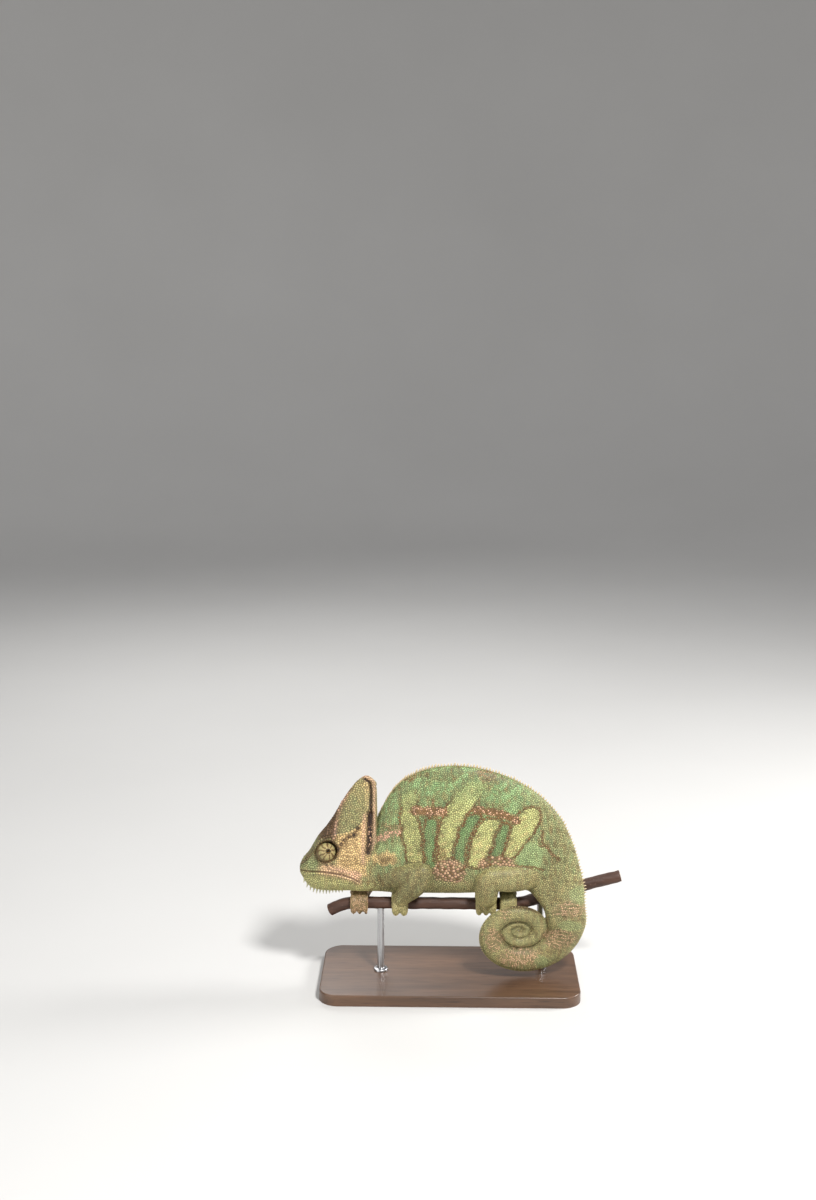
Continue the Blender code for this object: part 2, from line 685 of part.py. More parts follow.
def make_foot(name, limb):
    """A foot of two opposed bundles of fused toes, closed round the branch."""
    centre = (limb["grip_x"], limb["side"] * 3.2, GRIP_Z + BRANCH_RADIUS + 2.2)
    palm = (PALM[0] * limb["bundle_width"], *PALM[1:])
    foot = ball(name, centre, palm, "veiled_chameleon", "skin_limb")
    toes = []
    for side in (-1, 1):
        count = limb["outer_toes"] if side == limb["side"] else TOE_COUNT - limb["outer_toes"]
        pitch = limb["bundle_width"] / count
        for i in range(count):
            x = limb["grip_x"] + (i - (count - 1) / 2) * pitch
            toes += toe(f"{name}_{side}_{i}", x, side, pitch * TOE_FULLNESS)
    return boolean(foot, toes, "UNION")


def body_clearances():
    """The trunk's and the head's outer shapes, larger by the gap."""
    return [cutter("trunk_clearance", trunk_loft(0.0, coil_key(20), 54, RING_SIDES, GAP)),
            cutter("head_clearance", head_loft(GAP))]


def make_limb(limb):
    """Upper and lower length and foot, each cut clear of what it meets."""
    upper_name, lower_name, foot_name = limb["names"]
    foot = make_foot(foot_name, limb)
    lower = add_object(lower_name, limb_loft(limb["lower"]), "skin_limb")
    upper = add_object(upper_name, limb_loft(limb["upper"]), "skin_limb")
    for obj in (foot, upper):
        clearance = cutter("lower_clearance", limb_loft(limb["lower"], GAP))
        keep_largest(boolean(obj, [clearance, *body_clearances()], "DIFFERENCE"))
    keep_largest(boolean(lower, body_clearances(), "DIFFERENCE"))
    for obj in (foot, lower):
        keep_largest(boolean(obj, [branch_clearance()], "DIFFERENCE"))


def make_base():
    height = BASE_SIZE[2]
    bm = bmesh.new()
    bmesh.ops.create_cube(bm, size=1.0)
    bmesh.ops.scale(bm, vec=BASE_SIZE, verts=bm.verts)
    bmesh.ops.translate(bm, vec=(0, 0, height / 2), verts=bm.verts)
    upright = [edge for edge in bm.edges if abs(edge.verts[0].co.z - edge.verts[1].co.z) > 1]
    bmesh.ops.bevel(bm, geom=upright, offset=BASE_CORNER, segments=5, affect="EDGES", profile=0.5)
    top = [face for face in bm.faces if face.normal.z > 0.9]
    rim = [edge for edge in bm.edges if sum(face in top for face in edge.link_faces) == 1]
    bmesh.ops.bevel(bm, geom=rim, offset=BASE_EDGE, segments=2, affect="EDGES", profile=0.5)
    add_object("stand_base", bm, "walnut")


def make_rod(name, x):
    """A rod from just above the base up to the branch's underside, its top cut to the bark."""
    points = branch_points()
    y, z = (float(np.interp(x, points[:, 0], points[:, i])) for i in (1, 2))
    low = BASE_SIZE[2] + GAP
    bm = bmesh.new()
    bmesh.ops.create_cone(bm, cap_ends=True, segments=16, radius1=ROD_RADIUS, radius2=ROD_RADIUS,
                          depth=z - low)
    bmesh.ops.translate(bm, vec=(x, y, (z + low) / 2), verts=bm.verts)
    keep_largest(boolean(add_object(name, bm, "steel"), [branch_clearance()], "DIFFERENCE"))


def make_stand():
    tube("branch", branch_points(), [BRANCH_RADIUS] * BRANCH_POINTS, 5, "bark", "veiled_chameleon")
    make_base()
    for name, x in zip(("stand_rod_front", "stand_rod_rear"), ROD_X):
        make_rod(name, x)


def main():
    clear_scene()
    make_trunk()
    make_head()
    for limb in LIMBS.values():
        make_limb(limb)
    make_stand()
    for obj in collection("veiled_chameleon").objects:
        obj.data.shade_smooth()
        obj.data.set_sharp_from_angle(angle=math.radians(40))


main()
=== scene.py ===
"""A veiled chameleon on a perch, as a still model: skin, scales, spines, eyes, claws and stand.

Sizes are in millimetres, and the meshes are made in metres. The animal faces -X, its left side faces -Y and
+Z is up. A colour pattern is given in the plane (x, w), where w is the height z less SEEN_SLOPE times |y|.
"""

import math

import bmesh
import bpy
import numpy as np
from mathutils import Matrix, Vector
from mathutils.bvhtree import BVHTree
from mathutils.kdtree import KDTree


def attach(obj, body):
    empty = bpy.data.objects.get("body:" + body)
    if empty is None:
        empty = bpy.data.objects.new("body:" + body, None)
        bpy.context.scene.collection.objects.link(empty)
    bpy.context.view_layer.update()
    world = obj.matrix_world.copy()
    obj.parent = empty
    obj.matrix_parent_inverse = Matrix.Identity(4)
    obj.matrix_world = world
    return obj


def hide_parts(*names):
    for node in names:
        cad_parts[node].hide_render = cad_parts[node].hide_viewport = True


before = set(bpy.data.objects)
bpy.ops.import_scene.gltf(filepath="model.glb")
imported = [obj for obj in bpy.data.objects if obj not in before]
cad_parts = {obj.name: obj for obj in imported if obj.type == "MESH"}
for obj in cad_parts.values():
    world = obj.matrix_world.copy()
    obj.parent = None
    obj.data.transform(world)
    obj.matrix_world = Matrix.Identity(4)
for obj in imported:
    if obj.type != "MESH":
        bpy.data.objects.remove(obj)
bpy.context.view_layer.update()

MM = 0.001
METRE = 1000
SEED = 11
SEEN_SLOPE = 0.364

# The stand and the branch
BASE_SIZE = (186.0, 88.0, 8.0)
BASE_CORNER = 14.0
BASE_EDGE = 1.6
ROD_RADIUS = 2.5
ROD_X = (-50.0, 66.0)
GRIP_Z = 60.0
BRANCH_RADIUS = 4.5
BRANCH_PATH = (
    (-87.0, 1.5, 53.5),
    (-78.0, 0.4, 58.2),
    (-68.0, 0.0, GRIP_Z),
    (-35.0, 0.0, GRIP_Z),
    (0.0, 0.0, GRIP_Z),
    (30.0, 0.0, GRIP_Z),
    (47.0, 0.6, GRIP_Z),
    (61.0, 6.5, 61.0),
    (76.0, 11.0, 64.0),
    (97.0, 13.0, 69.5),
    (124.0, 14.0, 76.5),
)

# The trunk: upper point, lower point, half width, and how far the bulk sits below the middle
TRUNK_STATIONS = (
    ((-52.7, 0, 124.5), (-52.7, 0, 69.0), 10.6, 0.20),
    ((-42.0, 0, 144.0), (-45.0, 0, 68.6), 11.2, 0.26),
    ((-30.0, 0, 155.5), (-32.0, 0, 68.4), 12.2, 0.32),
    ((-12.0, 0, 162.5), (-14.0, 0, 68.4), 13.4, 0.36),
    ((8.0, 0, 163.8), (6.0, 0, 68.6), 14.0, 0.38),
    ((28.0, 0, 160.2), (24.0, 0, 69.4), 13.6, 0.36),
    ((47.0, 0, 153.0), (39.0, 0, 70.6), 12.6, 0.30),
    ((64.0, 0, 141.7), (49.0, 0, 71.2), 11.6, 0.22),
    ((78.0, 0, 126.5), (55.5, 0, 70.6), 10.8, 0.14),
    ((87.5, -1.0, 107.5), (59.5, -2.0, 68.2), 9.8, 0.08),
    ((93.6, -3.5, 88.0), (63.2, -5.5, 64.2), 9.2, 0.04),
    ((96.5, -7.5, 75.0), (67.2, -9.0, 59.2), 8.8, 0.02),
)

# The coiled tail: its outer radius by degrees round the coil, its clearance, lean and width
COIL_CENTRE = np.array([49.3, -13.0, 45.1])
COIL_OUTER = (
    (-25, 52.4), (0, 47.6), (90, 40.4), (180, 28.0), (270, 24.0), (360, 20.6), (450, 16.4), (540, 12.6),
    (630, 10.4), (720, 9.0), (810, 7.2), (900, 5.4), (990, 4.2), (1080, 3.2), (1320, 0.7), (1500, 0.2),
    (1700, 0.1),
)
COIL_CLEARANCE = 0.05
COIL_SQUASH = 0.82
COIL_LEAN = math.radians(10)
COIL_YAW = math.radians(7.3)
COIL_FIRST, COIL_LAST, COIL_STEP = -25.0, 1280.0, 15.0
COIL_DEGREES_A_KEY = 30
COIL_WIDTH = ((-25, 0.63), (120, 0.70), (400, 0.82), (960, 0.92))
TRUNK_RINGS, TAIL_RINGS, TRUNK_SIDES = 170, 640, 72
NEXT_KEY = 0.02  # how far on a station is read to find which way the trunk heads

# The head: x, the lowest and highest z, the ridge's z, and the half widths of jaw, lips, cheek and ridge
HEAD_STATIONS = (
    (-108.0, 82.6, 89.5, 88.0, 1.6, 2.4, 2.4, 1.8),
    (-106.4, 79.6, 92.8, 90.6, 3.0, 4.1, 4.0, 3.2),
    (-104.0, 75.4, 96.0, 93.0, 4.6, 5.9, 5.7, 4.8),
    (-100.5, 71.6, 101.0, 97.5, 6.2, 7.6, 7.2, 6.6),
    (-95.0, 69.6, 110.6, 106.0, 7.8, 9.2, 8.6, 9.2),
    (-88.0, 69.0, 119.6, 113.8, 9.4, 10.8, 9.8, 11.4),
    (-80.0, 69.2, 132.0, 115.6, 10.8, 12.0, 12.0, 11.4),
    (-72.0, 69.6, 145.4, 117.0, 11.6, 12.6, 13.2, 10.6),
    (-65.0, 69.6, 153.6, 121.0, 11.8, 12.6, 13.4, 9.4),
    (-59.0, 69.4, 156.0, 129.0, 11.6, 12.2, 13.0, 7.4),
    (-53.0, 69.0, 151.6, 138.0, 11.2, 11.8, 12.4, 4.6),
)
MOUTH_LINE = ((-112.0, 85.6), (-104.0, 85.9), (-92.0, 86.9), (-80.0, 86.0), (-70.0, 83.4), (-65.5, 80.6))
HEAD_ROWS, HEAD_SIDE_POINTS = 110, 60
NAPE_RINGS = ((0.0, 0.0), (0.5, 0.6), (0.2, 2.0), (-1.0, 3.4), (-2.2, 5.2))  # step back, and how far in

# The eyes
EYE_CENTRE = (-88.4, 9.2, 102.0)
EYE_AXES = {"left": Vector((0.28, -0.87, 0.36)), "right": Vector((-0.2, 0.95, 0.2))}
EYEBALL_RADIUS = 4.4
LID_RADIUS = 6.7
LID_HEIGHT = 6.2

# The limbs: each joint's place and its radius in the limb's own plane
LIMBS = (
    {
        "side": -1,
        "upper": ((-43.5, -4.5, 81.6, 8.4), (-31.5, -12.4, 86.0, 7.8), (-20.8, -16.6, 89.2, 7.6)),
        "lower": ((-20.0, -17.0, 89.2, 7.8), (-25.4, -15.5, 79.6, 8.6), (-34.6, -9.6, 67.6, 6.0)),
        "grip_x": -36.0,
        "bundle_width": 12.0,
        "outer_toes": 2,
    },
    {
        "side": 1,
        "upper": ((-34.0, 7.0, 82.0, 8.0), (-37.0, 14.0, 82.5, 7.4), (-40.0, 19.0, 83.0, 7.0)),
        "lower": ((-41.0, 20.0, 83.0, 7.4), (-51.5, 15.6, 77.0, 7.8), (-62.6, 8.8, 67.6, 6.6)),
        "grip_x": -65.0,
        "bundle_width": 13.6,
        "outer_toes": 2,
    },
    {
        "side": -1,
        "upper": ((66.0, -1.5, 85.0, 9.6), (46.0, -10.4, 83.6, 10.0), (28.5, -14.5, 84.4, 8.4)),
        "lower": ((27.0, -14.5, 83.0, 8.8), (26.2, -13.0, 76.5, 8.8), (26.0, -9.8, 68.5, 8.0)),
        "grip_x": 26.0,
        "bundle_width": 15.0,
        "outer_toes": 3,
    },
    {
        "side": 1,
        "upper": ((66.0, 1.5, 85.0, 9.6), (48.0, 10.6, 84.4, 9.6), (34.0, 14.5, 86.0, 8.2)),
        "lower": ((33.0, 14.5, 86.0, 8.2), (36.0, 13.4, 78.0, 7.2), (41.6, 9.4, 67.4, 5.8)),
        "grip_x": 42.0,
        "bundle_width": 12.0,
        "outer_toes": 3,
    },
)
LIMB_ACROSS = 0.78
LIMB_RINGS, LIMB_SIDES = 26, 40
LIMB_END_SLOPES = (20, 38, 54, 70, 82)
TOE_COUNT = 5
TOE_RINGS, TOE_SIDES = 18, 28
TUBE_END_SLOPES = (30, 55, 75)
TOE_TAPER = (0.72, 1.0, 1.0, 0.96, 0.9, 0.6)
TOE_REACH = (78.0, -58.0)
WEB_REACH = (78.0, -26.0)
TOE_FULLNESS = 0.54
TOE_GAP = 0.3
CLAW_ARC = math.radians(26)
PALM = (0.56, 6.6, 3.4)  # its first half length is a share of the bundle's width

# The skin lies inside the solids by the scales' height
COAT_DEPTH = 0.25
VOXEL = 0.6
JOINT_ROUNDS, SEAM_ROUNDS = 16, 90  # how often the joints and the seams are smoothed
FINE_X = -50.0  # the head, in front of this, has faces a quarter as large

SEAM_X = -53.0
TAIL_SEAM = (90.0, -7.0, 74.0)

# Which part of the flesh a point belongs to
HEAD, TRUNK, UPPER, LOWER, FOOT = range(5)

# Folds of the head: a line in (x, z), its half width, and its height or depth
SIDE_RIDGE = ((-98.0, 102.0), (-92.5, 110.5), (-88.0, 113.8), (-80.0, 115.6), (-72.0, 117.0), (-65.0, 121.0),
              (-59.0, 129.0), (-56.0, 136.0))
CANTHUS = ((-107.0, 90.8), (-104.0, 93.6), (-100.5, 98.0), (-96.5, 104.0))
DOTTED_RIDGE = ((-80.6, 104.5), (-77.0, 108.8), (-73.0, 113.0), (-69.0, 116.6))
FRONT_EDGE = ((-70.6, 151.7), (-72.7, 146.0), (-77.0, 137.1), (-80.6, 129.0), (-82.1, 119.0), (-82.8, 112.3))
RIM_GROOVE = ((-61.0, 153.6), (-57.4, 151.2), (-56.5, 146.0), (-56.5, 130.0))
RIM_HOLLOW = ((-56.9, 130.0), (-57.3, 120.0), (-57.5, 110.0), (-58.4, 102.8))
RIM_EDGE = ((-66.0, 155.4), (-60.0, 155.6), (-55.0, 152.0), (-54.2, 146.0), (-54.2, 126.0), (-54.0, 112.0),
            (-55.4, 105.0))
UPPER_LIP = tuple((x, z + 1.5) for x, z in MOUTH_LINE)
LOWER_LIP = tuple((x, z - 1.6) for x, z in MOUTH_LINE)
FOLDS = (
    (MOUTH_LINE, 0.5, -1.0),
    (UPPER_LIP, 1.0, 0.35),
    (LOWER_LIP, 1.1, 0.3),
    (CANTHUS, 1.2, 0.45),
    (SIDE_RIDGE, 1.5, 0.75),
    (DOTTED_RIDGE, 1.1, 0.45),
    (FRONT_EDGE, 1.3, 0.5),
    (RIM_GROOVE, 0.9, -1.1),
    (RIM_HOLLOW, 2.0, -1.3),
    (RIM_EDGE, 1.2, 0.4),
    (((-101.0, 80.2), (-90.0, 79.4), (-76.0, 78.4), (-62.0, 78.0)), 0.6, -0.3),
    (((-98.0, 76.6), (-88.0, 75.6), (-74.0, 75.2), (-58.0, 75.6)), 0.6, -0.3),
    (((-80.6, 93.0), (-72.0, 92.0), (-62.0, 93.6)), 0.9, -0.3),
    (((-62.6, 78.0), (-60.4, 92.0), (-61.0, 106.0)), 1.3, -0.3),
)
SWELLINGS = (  # x, z, their half lengths along x and z, and the height
    (-70.0, 101.0, 8.0, 8.5, 0.9),
    (-104.4, 94.4, 2.4, 2.0, 0.35),
    (-97.0, 92.0, 5.0, 3.0, 0.3),
)
NOSTRIL = (-103.2, 94.0)
NOSTRIL_RADIUS = 0.85
SOCKET_GROOVE = (7.15, 0.5, -0.5)  # distance from the eye's axis, half width, depth
SOCKET_RIM = (8.2, 0.8, 0.3)


# Shapes as arrays of points and triangles


def curve_through(keys, rows, at):
    """A smooth curve through rows of numbers, one row to a key, read at the keys in `at`."""
    keys, rows, at = (np.asarray(values, float) for values in (keys, rows, at))
    slopes = np.gradient(rows, keys, axis=0)
    i = np.clip(np.searchsorted(keys, at, side="right") - 1, 0, len(keys) - 2)
    span = (keys[i + 1] - keys[i])[:, None]
    t = (at - keys[i])[:, None] / span
    return (
        (2 * t**3 - 3 * t**2 + 1) * rows[i]
        + (t**3 - 2 * t**2 + t) * span * slopes[i]
        + (3 * t**2 - 2 * t**3) * rows[i + 1]
        + (t**3 - t**2) * span * slopes[i + 1]
    )


def smooth_line(line, count):
    last = len(line) - 1
    return curve_through(range(last + 1), line, np.linspace(0, last, count))


def table_at(table, x):
    """A value from rows of two numbers, straight from one row to the next."""
    return np.interp(x, *zip(*table))


def lengths_along(path):
    """How far along a path each of its points is."""
    return np.concatenate([[0], np.cumsum(np.linalg.norm(np.diff(path, axis=0), axis=1))])


def full_turn(sides):
    """Angles all the way round, one for each side."""
    return np.linspace(0, 2 * math.pi, sides, endpoint=False)


def unit(rows):
    rows = np.asarray(rows, float)
    return rows / np.maximum(np.linalg.norm(rows, axis=-1, keepdims=True), 1e-9)


def step(low, high, values):
    """Rises smoothly from 0 at `low` to 1 at `high`."""
    t = np.clip((np.asarray(values, float) - low) / (high - low), 0, 1)
    return t * t * (3 - 2 * t)


def fall(low, high, values):
    """Falls smoothly from 1 at `low` to 0 at `high`."""
    return 1 - step(low, high, values)


def repeated(faces, count, stride):
    """The same faces again for each of many shapes, whose points lie a stride apart."""
    return (faces[None] + (np.arange(count) * stride)[:, None, None]).reshape(-1, faces.shape[1])


def loft(rings):
    """Points and triangles of a closed shape through rings of as many points each."""
    rings = np.asarray(rings, float)
    count, sides = rings.shape[:2]
    first = np.arange(sides)
    strip = np.stack([first, np.roll(first, -1), np.roll(first, -1) + sides, first + sides], axis=1)
    quads = repeated(strip, count - 1, sides)
    body = np.concatenate([quads[:, [0, 1, 2]], quads[:, [0, 2, 3]]])
    start, end = count * sides, count * sides + 1
    last = first + (count - 1) * sides
    caps = [np.stack([np.roll(first, -1), first, np.full(sides, start)], axis=1),
            np.stack([last, np.roll(last, -1), np.full(sides, end)], axis=1)]
    middles = [rings[0].mean(axis=0)[None], rings[-1].mean(axis=0)[None]]
    return np.concatenate([rings.reshape(-1, 3), *middles]), np.concatenate([body, *caps])


def joined(shapes):
    """One shape from several."""
    points, faces, offset = [], [], 0
    for shape_points, shape_faces in shapes:
        points.append(shape_points)
        faces.append(shape_faces + offset)
        offset += len(shape_points)
    return np.concatenate(points), np.concatenate(faces)


def frames_along(path):
    """Two directions across a path at each of its points, turned as little as may be from one to the next."""
    along = unit(np.gradient(path, axis=0))
    side = unit(np.cross(along[0], (0.1, 0.2, 1.0)))
    sides = []
    for way in along:
        side = unit(side - way * np.dot(side, way))
        sides.append(side)
    sides = np.array(sides)
    return along, sides, np.cross(along, sides)


def ring_round(centre, radius, first, second, turns):
    """A circle's points round a centre, in the plane of two directions."""
    return [centre + radius * (math.cos(t) * first + math.sin(t) * second) for t in turns]


def tube(path, radii, sides):
    """A tube round a path with round ends."""
    path, radii = np.asarray(path, float), np.asarray(radii, float)
    along, side, up = frames_along(path)
    slopes = np.radians(TUBE_END_SLOPES)
    order = [(0, -math.sin(s), math.cos(s)) for s in slopes[::-1]]
    order += [(i, 0.0, 1.0) for i in range(len(path))]
    order += [(len(path) - 1, math.sin(s), math.cos(s)) for s in slopes]
    turns = full_turn(sides)
    rings = []
    for i, ahead, wide in order:
        centre = path[i] + along[i] * ahead * radii[i]
        rings.append(ring_round(centre, radii[i] * wide, side[i], up[i], turns))
    return loft(rings)


def turned(profile, sides, x=0.0, y=0.0):
    """A shape turned round an upright axis, from radii and heights."""
    turns = full_turn(sides)
    return loft([[(x + r * math.cos(t), y + r * math.sin(t), high) for t in turns] for r, high in profile])


def ellipsoid(centre, radii, rows=18, sides=32):
    angles = np.linspace(-math.pi / 2, math.pi / 2, rows + 2)[1:-1]
    turns = full_turn(sides)
    rings = [[(math.cos(a) * math.cos(t), math.cos(a) * math.sin(t), math.sin(a)) for t in turns]
             for a in angles]
    return loft(np.array(rings) * radii + centre)


def placed(name, data):
    """An object with this data, in the scene."""
    obj = bpy.data.objects.new(name, data)
    bpy.context.scene.collection.objects.link(obj)
    return obj


def mesh_object(name, points, faces, smooth=True):
    """An object from points in millimetres and an array of faces with as many corners each."""
    faces = np.asarray(faces, np.int32)
    mesh = bpy.data.meshes.new(name)
    mesh.vertices.add(len(points))
    mesh.vertices.foreach_set("co", (np.asarray(points) * MM).astype(np.float32).ravel())
    mesh.loops.add(faces.size)
    mesh.loops.foreach_set("vertex_index", faces.ravel())
    mesh.polygons.add(len(faces))
    mesh.polygons.foreach_set("loop_start", np.arange(0, faces.size, faces.shape[1], dtype=np.int32))
    mesh.update(calc_edges=True)
    mesh.validate()
    if smooth:
        mesh.shade_smooth()
    return placed(name, mesh)


def set_values(mesh, name, values):
    """Stores one number a point under a name."""
    layer = mesh.attributes.new(name, "FLOAT", "POINT")
    layer.data.foreach_set("value", values.astype(np.float32))


def read(data, name, width, kind=np.float32):
    """One value, or a row of them, for each point, corner or edge as an array."""
    values = np.empty(len(data) * width, kind)
    data.foreach_get(name, values)
    return values.reshape(-1, width) if width > 1 else values


def finish_piece(obj, made, slot, *nodes):
    """Gives a piece its material, its place in the frame and the solids that it stands for."""
    obj.data.materials.clear()
    obj.data.materials.append(made)
    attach(obj, "root")
    if nodes:
        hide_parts(*nodes)


# The flesh: the same forms as the solids, more finely divided and drawn in by the scales' height


def coil_radius(degrees):
    """The coil's outer radius at an angle, read smoothly from its table."""
    table = np.array(COIL_OUTER, float)
    return float(np.exp(curve_through(table[:, 0], np.log(table[:, 1:]), [degrees])[0, 0]))


def coil_station(degrees):
    """A row of the tail's stations: on the coil's outer edge, on its inner edge, and its half width."""
    turn = math.radians(degrees)
    outer, inner = coil_radius(degrees), coil_radius(degrees + 360) + COIL_CLEARANCE

    def on_plane(radius):
        across = radius * math.cos(turn)
        down = radius * math.sin(turn) * COIL_SQUASH
        lean = across * math.tan(COIL_YAW) + down * math.sin(COIL_LEAN)
        return COIL_CENTRE + (across, lean, -down * math.cos(COIL_LEAN))

    half_width = 0.5 * (outer - inner) * table_at(COIL_WIDTH, degrees)
    return np.concatenate([on_plane(outer), on_plane(inner), [half_width, 0.02]])


def coil_key(degrees):
    """The key of a place on the coil. Keys count stations from the head to the tail's tip."""
    return len(TRUNK_STATIONS) + (degrees - COIL_FIRST) / COIL_DEGREES_A_KEY


def trunk_table():
    """Keys and rows of every station: the trunk's, keyed by number, then the coil's."""
    rows = [np.array([*upper, *lower, width, bulk]) for upper, lower, width, bulk in TRUNK_STATIONS]
    keys = list(range(len(rows)))
    for degrees in np.arange(COIL_FIRST, COIL_LAST + 1, COIL_STEP):
        keys.append(coil_key(degrees))
        rows.append(coil_station(degrees))
    return np.array(keys, float), np.array(rows)


TRUNK_KEYS, TRUNK_ROWS = trunk_table()
TAIL_KEY = coil_key(COIL_FIRST)
LAST_KEY = coil_key(COIL_LAST)


def trunk_at(keys):
    """Rows of the trunk and tail at keys: upper point, lower point, half width and bulk."""
    return curve_through(TRUNK_KEYS, TRUNK_ROWS, keys)


def trunk_rings(at, sides, grow):
    """Sections of the trunk and tail: a ridge above and below, and the bulk below the middle."""
    here = trunk_at(at)
    change = trunk_at(at + NEXT_KEY) - trunk_at(at - NEXT_KEY)
    rise = here[:, 0:3] - here[:, 3:6]
    half_height = np.linalg.norm(rise, axis=1)[:, None] / 2 + grow
    rise = unit(rise)
    across = unit(np.cross(rise, unit(change[:, 0:3] + change[:, 3:6])))
    turn = (2 * math.pi * np.arange(sides) / sides - math.pi / 2)[None]
    bulge = 1 - here[:, 7:8] * np.sin(turn)
    wide = np.sign(np.cos(turn)) * (np.abs(np.cos(turn)) ** 0.88 * bulge * here[:, 6:7] + grow)
    middle = (here[:, 0:3] + here[:, 3:6]) / 2
    return (middle[:, None] + rise[:, None] * (half_height * np.sin(turn))[..., None]
            + across[:, None] * wide[..., None])


def trunk_shape():
    """The trunk and tail, from inside the head to the tail's tip, and each point's key."""
    trunk, tail = np.linspace(0, TAIL_KEY, TRUNK_RINGS), np.linspace(TAIL_KEY, LAST_KEY, TAIL_RINGS)
    at = np.concatenate([trunk[:-1], tail])
    rings = trunk_rings(at, TRUNK_SIDES, -COAT_DEPTH)
    plug = rings[0].mean(axis=0) + (rings[0] - rings[0].mean(axis=0)) * 0.9 - (7.0, 0, 0)
    tip = rings[-1].mean(axis=0)
    heading = unit(tip - rings[-9].mean(axis=0))
    ends = [tip + (rings[-1] - tip) * wide + heading * ahead for wide, ahead in ((0.8, 0.9), (0.4, 1.5))]
    rings = np.concatenate([plug[None], rings, ends])
    keys = np.concatenate([[0], at, [LAST_KEY, LAST_KEY]])
    points, faces = loft(rings)
    return points, faces, np.concatenate([np.repeat(keys, TRUNK_SIDES), [0, LAST_KEY]])


def head_ring(row):
    """One section of the head: keel, throat, jaw, lips, cheek, side ridge and the roof or casque above."""
    x, low, high, ridge, jaw, lip, cheek, brow = row
    mouth = min(max(float(table_at(MOUTH_LINE, x)), low + 1.6), ridge - 1.6)
    roof = float(np.interp(x, (-100.0, -70.0), (0.72, 1.12)))
    levels = [
        (low, 0.0),
        (low + 0.1 * (mouth - low), 0.42 * jaw),
        (low + 0.38 * (mouth - low), 0.84 * jaw),
        (low + 0.74 * (mouth - low), jaw),
        (mouth - 0.9, lip),
        (mouth + 0.9, lip * 1.02),
        (mouth + 0.2 * (ridge - mouth), 0.5 * (lip + cheek) - 0.35),
        (mouth + 0.5 * (ridge - mouth), cheek),
        (mouth + 0.82 * (ridge - mouth), 0.45 * cheek + 0.55 * brow - 0.5),
        (ridge, brow),
    ]
    levels += [(ridge + share * (high - ridge), brow * (1 - share) ** roof + 0.25)
               for share in (0.2, 0.5, 0.8)]
    levels += [(high - 0.3, 0.75), (high, 0.0)]
    levels = np.array(levels)
    length = lengths_along(levels)
    side = curve_through(length, levels, np.linspace(0, length[-1], HEAD_SIDE_POINTS))
    left = [(x, -wide, z) for z, wide in side]
    right = [(x, wide, z) for z, wide in side[-2:0:-1]]
    return left + right


def head_shape():
    """The head with its casque, and the hollow behind the casque's rim."""
    stations = np.array(HEAD_STATIONS)
    share = np.linspace(0, 1, HEAD_ROWS)
    at = stations[0, 0] + (stations[-1, 0] - stations[0, 0]) * share**1.2
    rows = curve_through(stations[:, 0], stations, at)
    ends = []
    for back, inward in NAPE_RINGS[1:]:
        row = rows[-1].copy()
        row[0] += back
        row[1] += inward
        row[2:4] -= inward
        row[4:] = np.maximum(row[4:] - inward, 0.2 * row[4:])
        ends.append(row)
    rows = np.concatenate([rows, ends])
    rows[:, 1] += COAT_DEPTH
    rows[:, 2] -= COAT_DEPTH
    rows[:, 4:] -= COAT_DEPTH
    return loft([head_ring(row) for row in rows])


def limb_shape(joints):
    """A limb's length: rings round a bent path, narrower across than in the limb's plane, with round ends."""
    rows = smooth_line(joints, LIMB_RINGS)
    along = unit(np.gradient(rows[:, 0:3], axis=0))
    sections = [(row[0:3], row[3] - COAT_DEPTH, way) for row, way in zip(rows, along)]
    for slope in np.radians(LIMB_END_SLOPES):
        for end, sign in ((0, -1), (-1, 1)):
            centre, radius, way = rows[end, 0:3], rows[end, 3] - COAT_DEPTH, along[end]
            cap = (centre + way * sign * radius * math.sin(slope) * 0.9, radius * math.cos(slope), way)
            sections.insert(0 if end == 0 else len(sections), cap)
    rings = []
    for centre, radius, way in sections:
        inward = unit(np.cross(way, (0.0, 1.0, 0.0)))
        across = np.cross(way, inward)
        rings.append([centre + radius * (math.cos(t) * inward + LIMB_ACROSS * math.sin(t) * across)
                      for t in full_turn(LIMB_SIDES)])
    return loft(rings)


def grip_arc(x, side, first, last, reaches):
    """Points round the branch's axis, from one angle to another, as far out as each reach."""
    angles = np.linspace(first, last, len(reaches))
    return [(x, side * reach * math.cos(angle), GRIP_Z + reach * math.sin(angle))
            for angle, reach in zip(angles, reaches)]


def toes_of(limb):
    """Each toe's x, side and radius."""
    for side in (-1, 1):
        count = limb["outer_toes"] if side == limb["side"] else TOE_COUNT - limb["outer_toes"]
        pitch = limb["bundle_width"] / count
        for i in range(count):
            yield limb["grip_x"] + (i - (count - 1) / 2) * pitch, side, pitch * TOE_FULLNESS


def webs_of(limb):
    """The flesh between neighbouring toes of a bundle, as toes of a shorter reach."""
    toes = list(toes_of(limb))
    for (x, side, radius), (next_x, next_side, _) in zip(toes, toes[1:]):
        if side == next_side:
            yield (x + next_x) / 2, side, radius * 0.94, WEB_REACH


def toe_shape(x, side, radius, reach=TOE_REACH):
    """A toe closed round the branch, fullest near its root."""
    start, end = (math.radians(angle) for angle in reach)
    share = np.linspace(0, 1, TOE_RINGS)
    middle = BRANCH_RADIUS + TOE_GAP + radius - 0.1 * radius * share
    radii = np.interp(share * 5, range(6), TOE_TAPER) * radius - COAT_DEPTH
    return tube(grip_arc(x, side, start, end, middle), radii, TOE_SIDES)


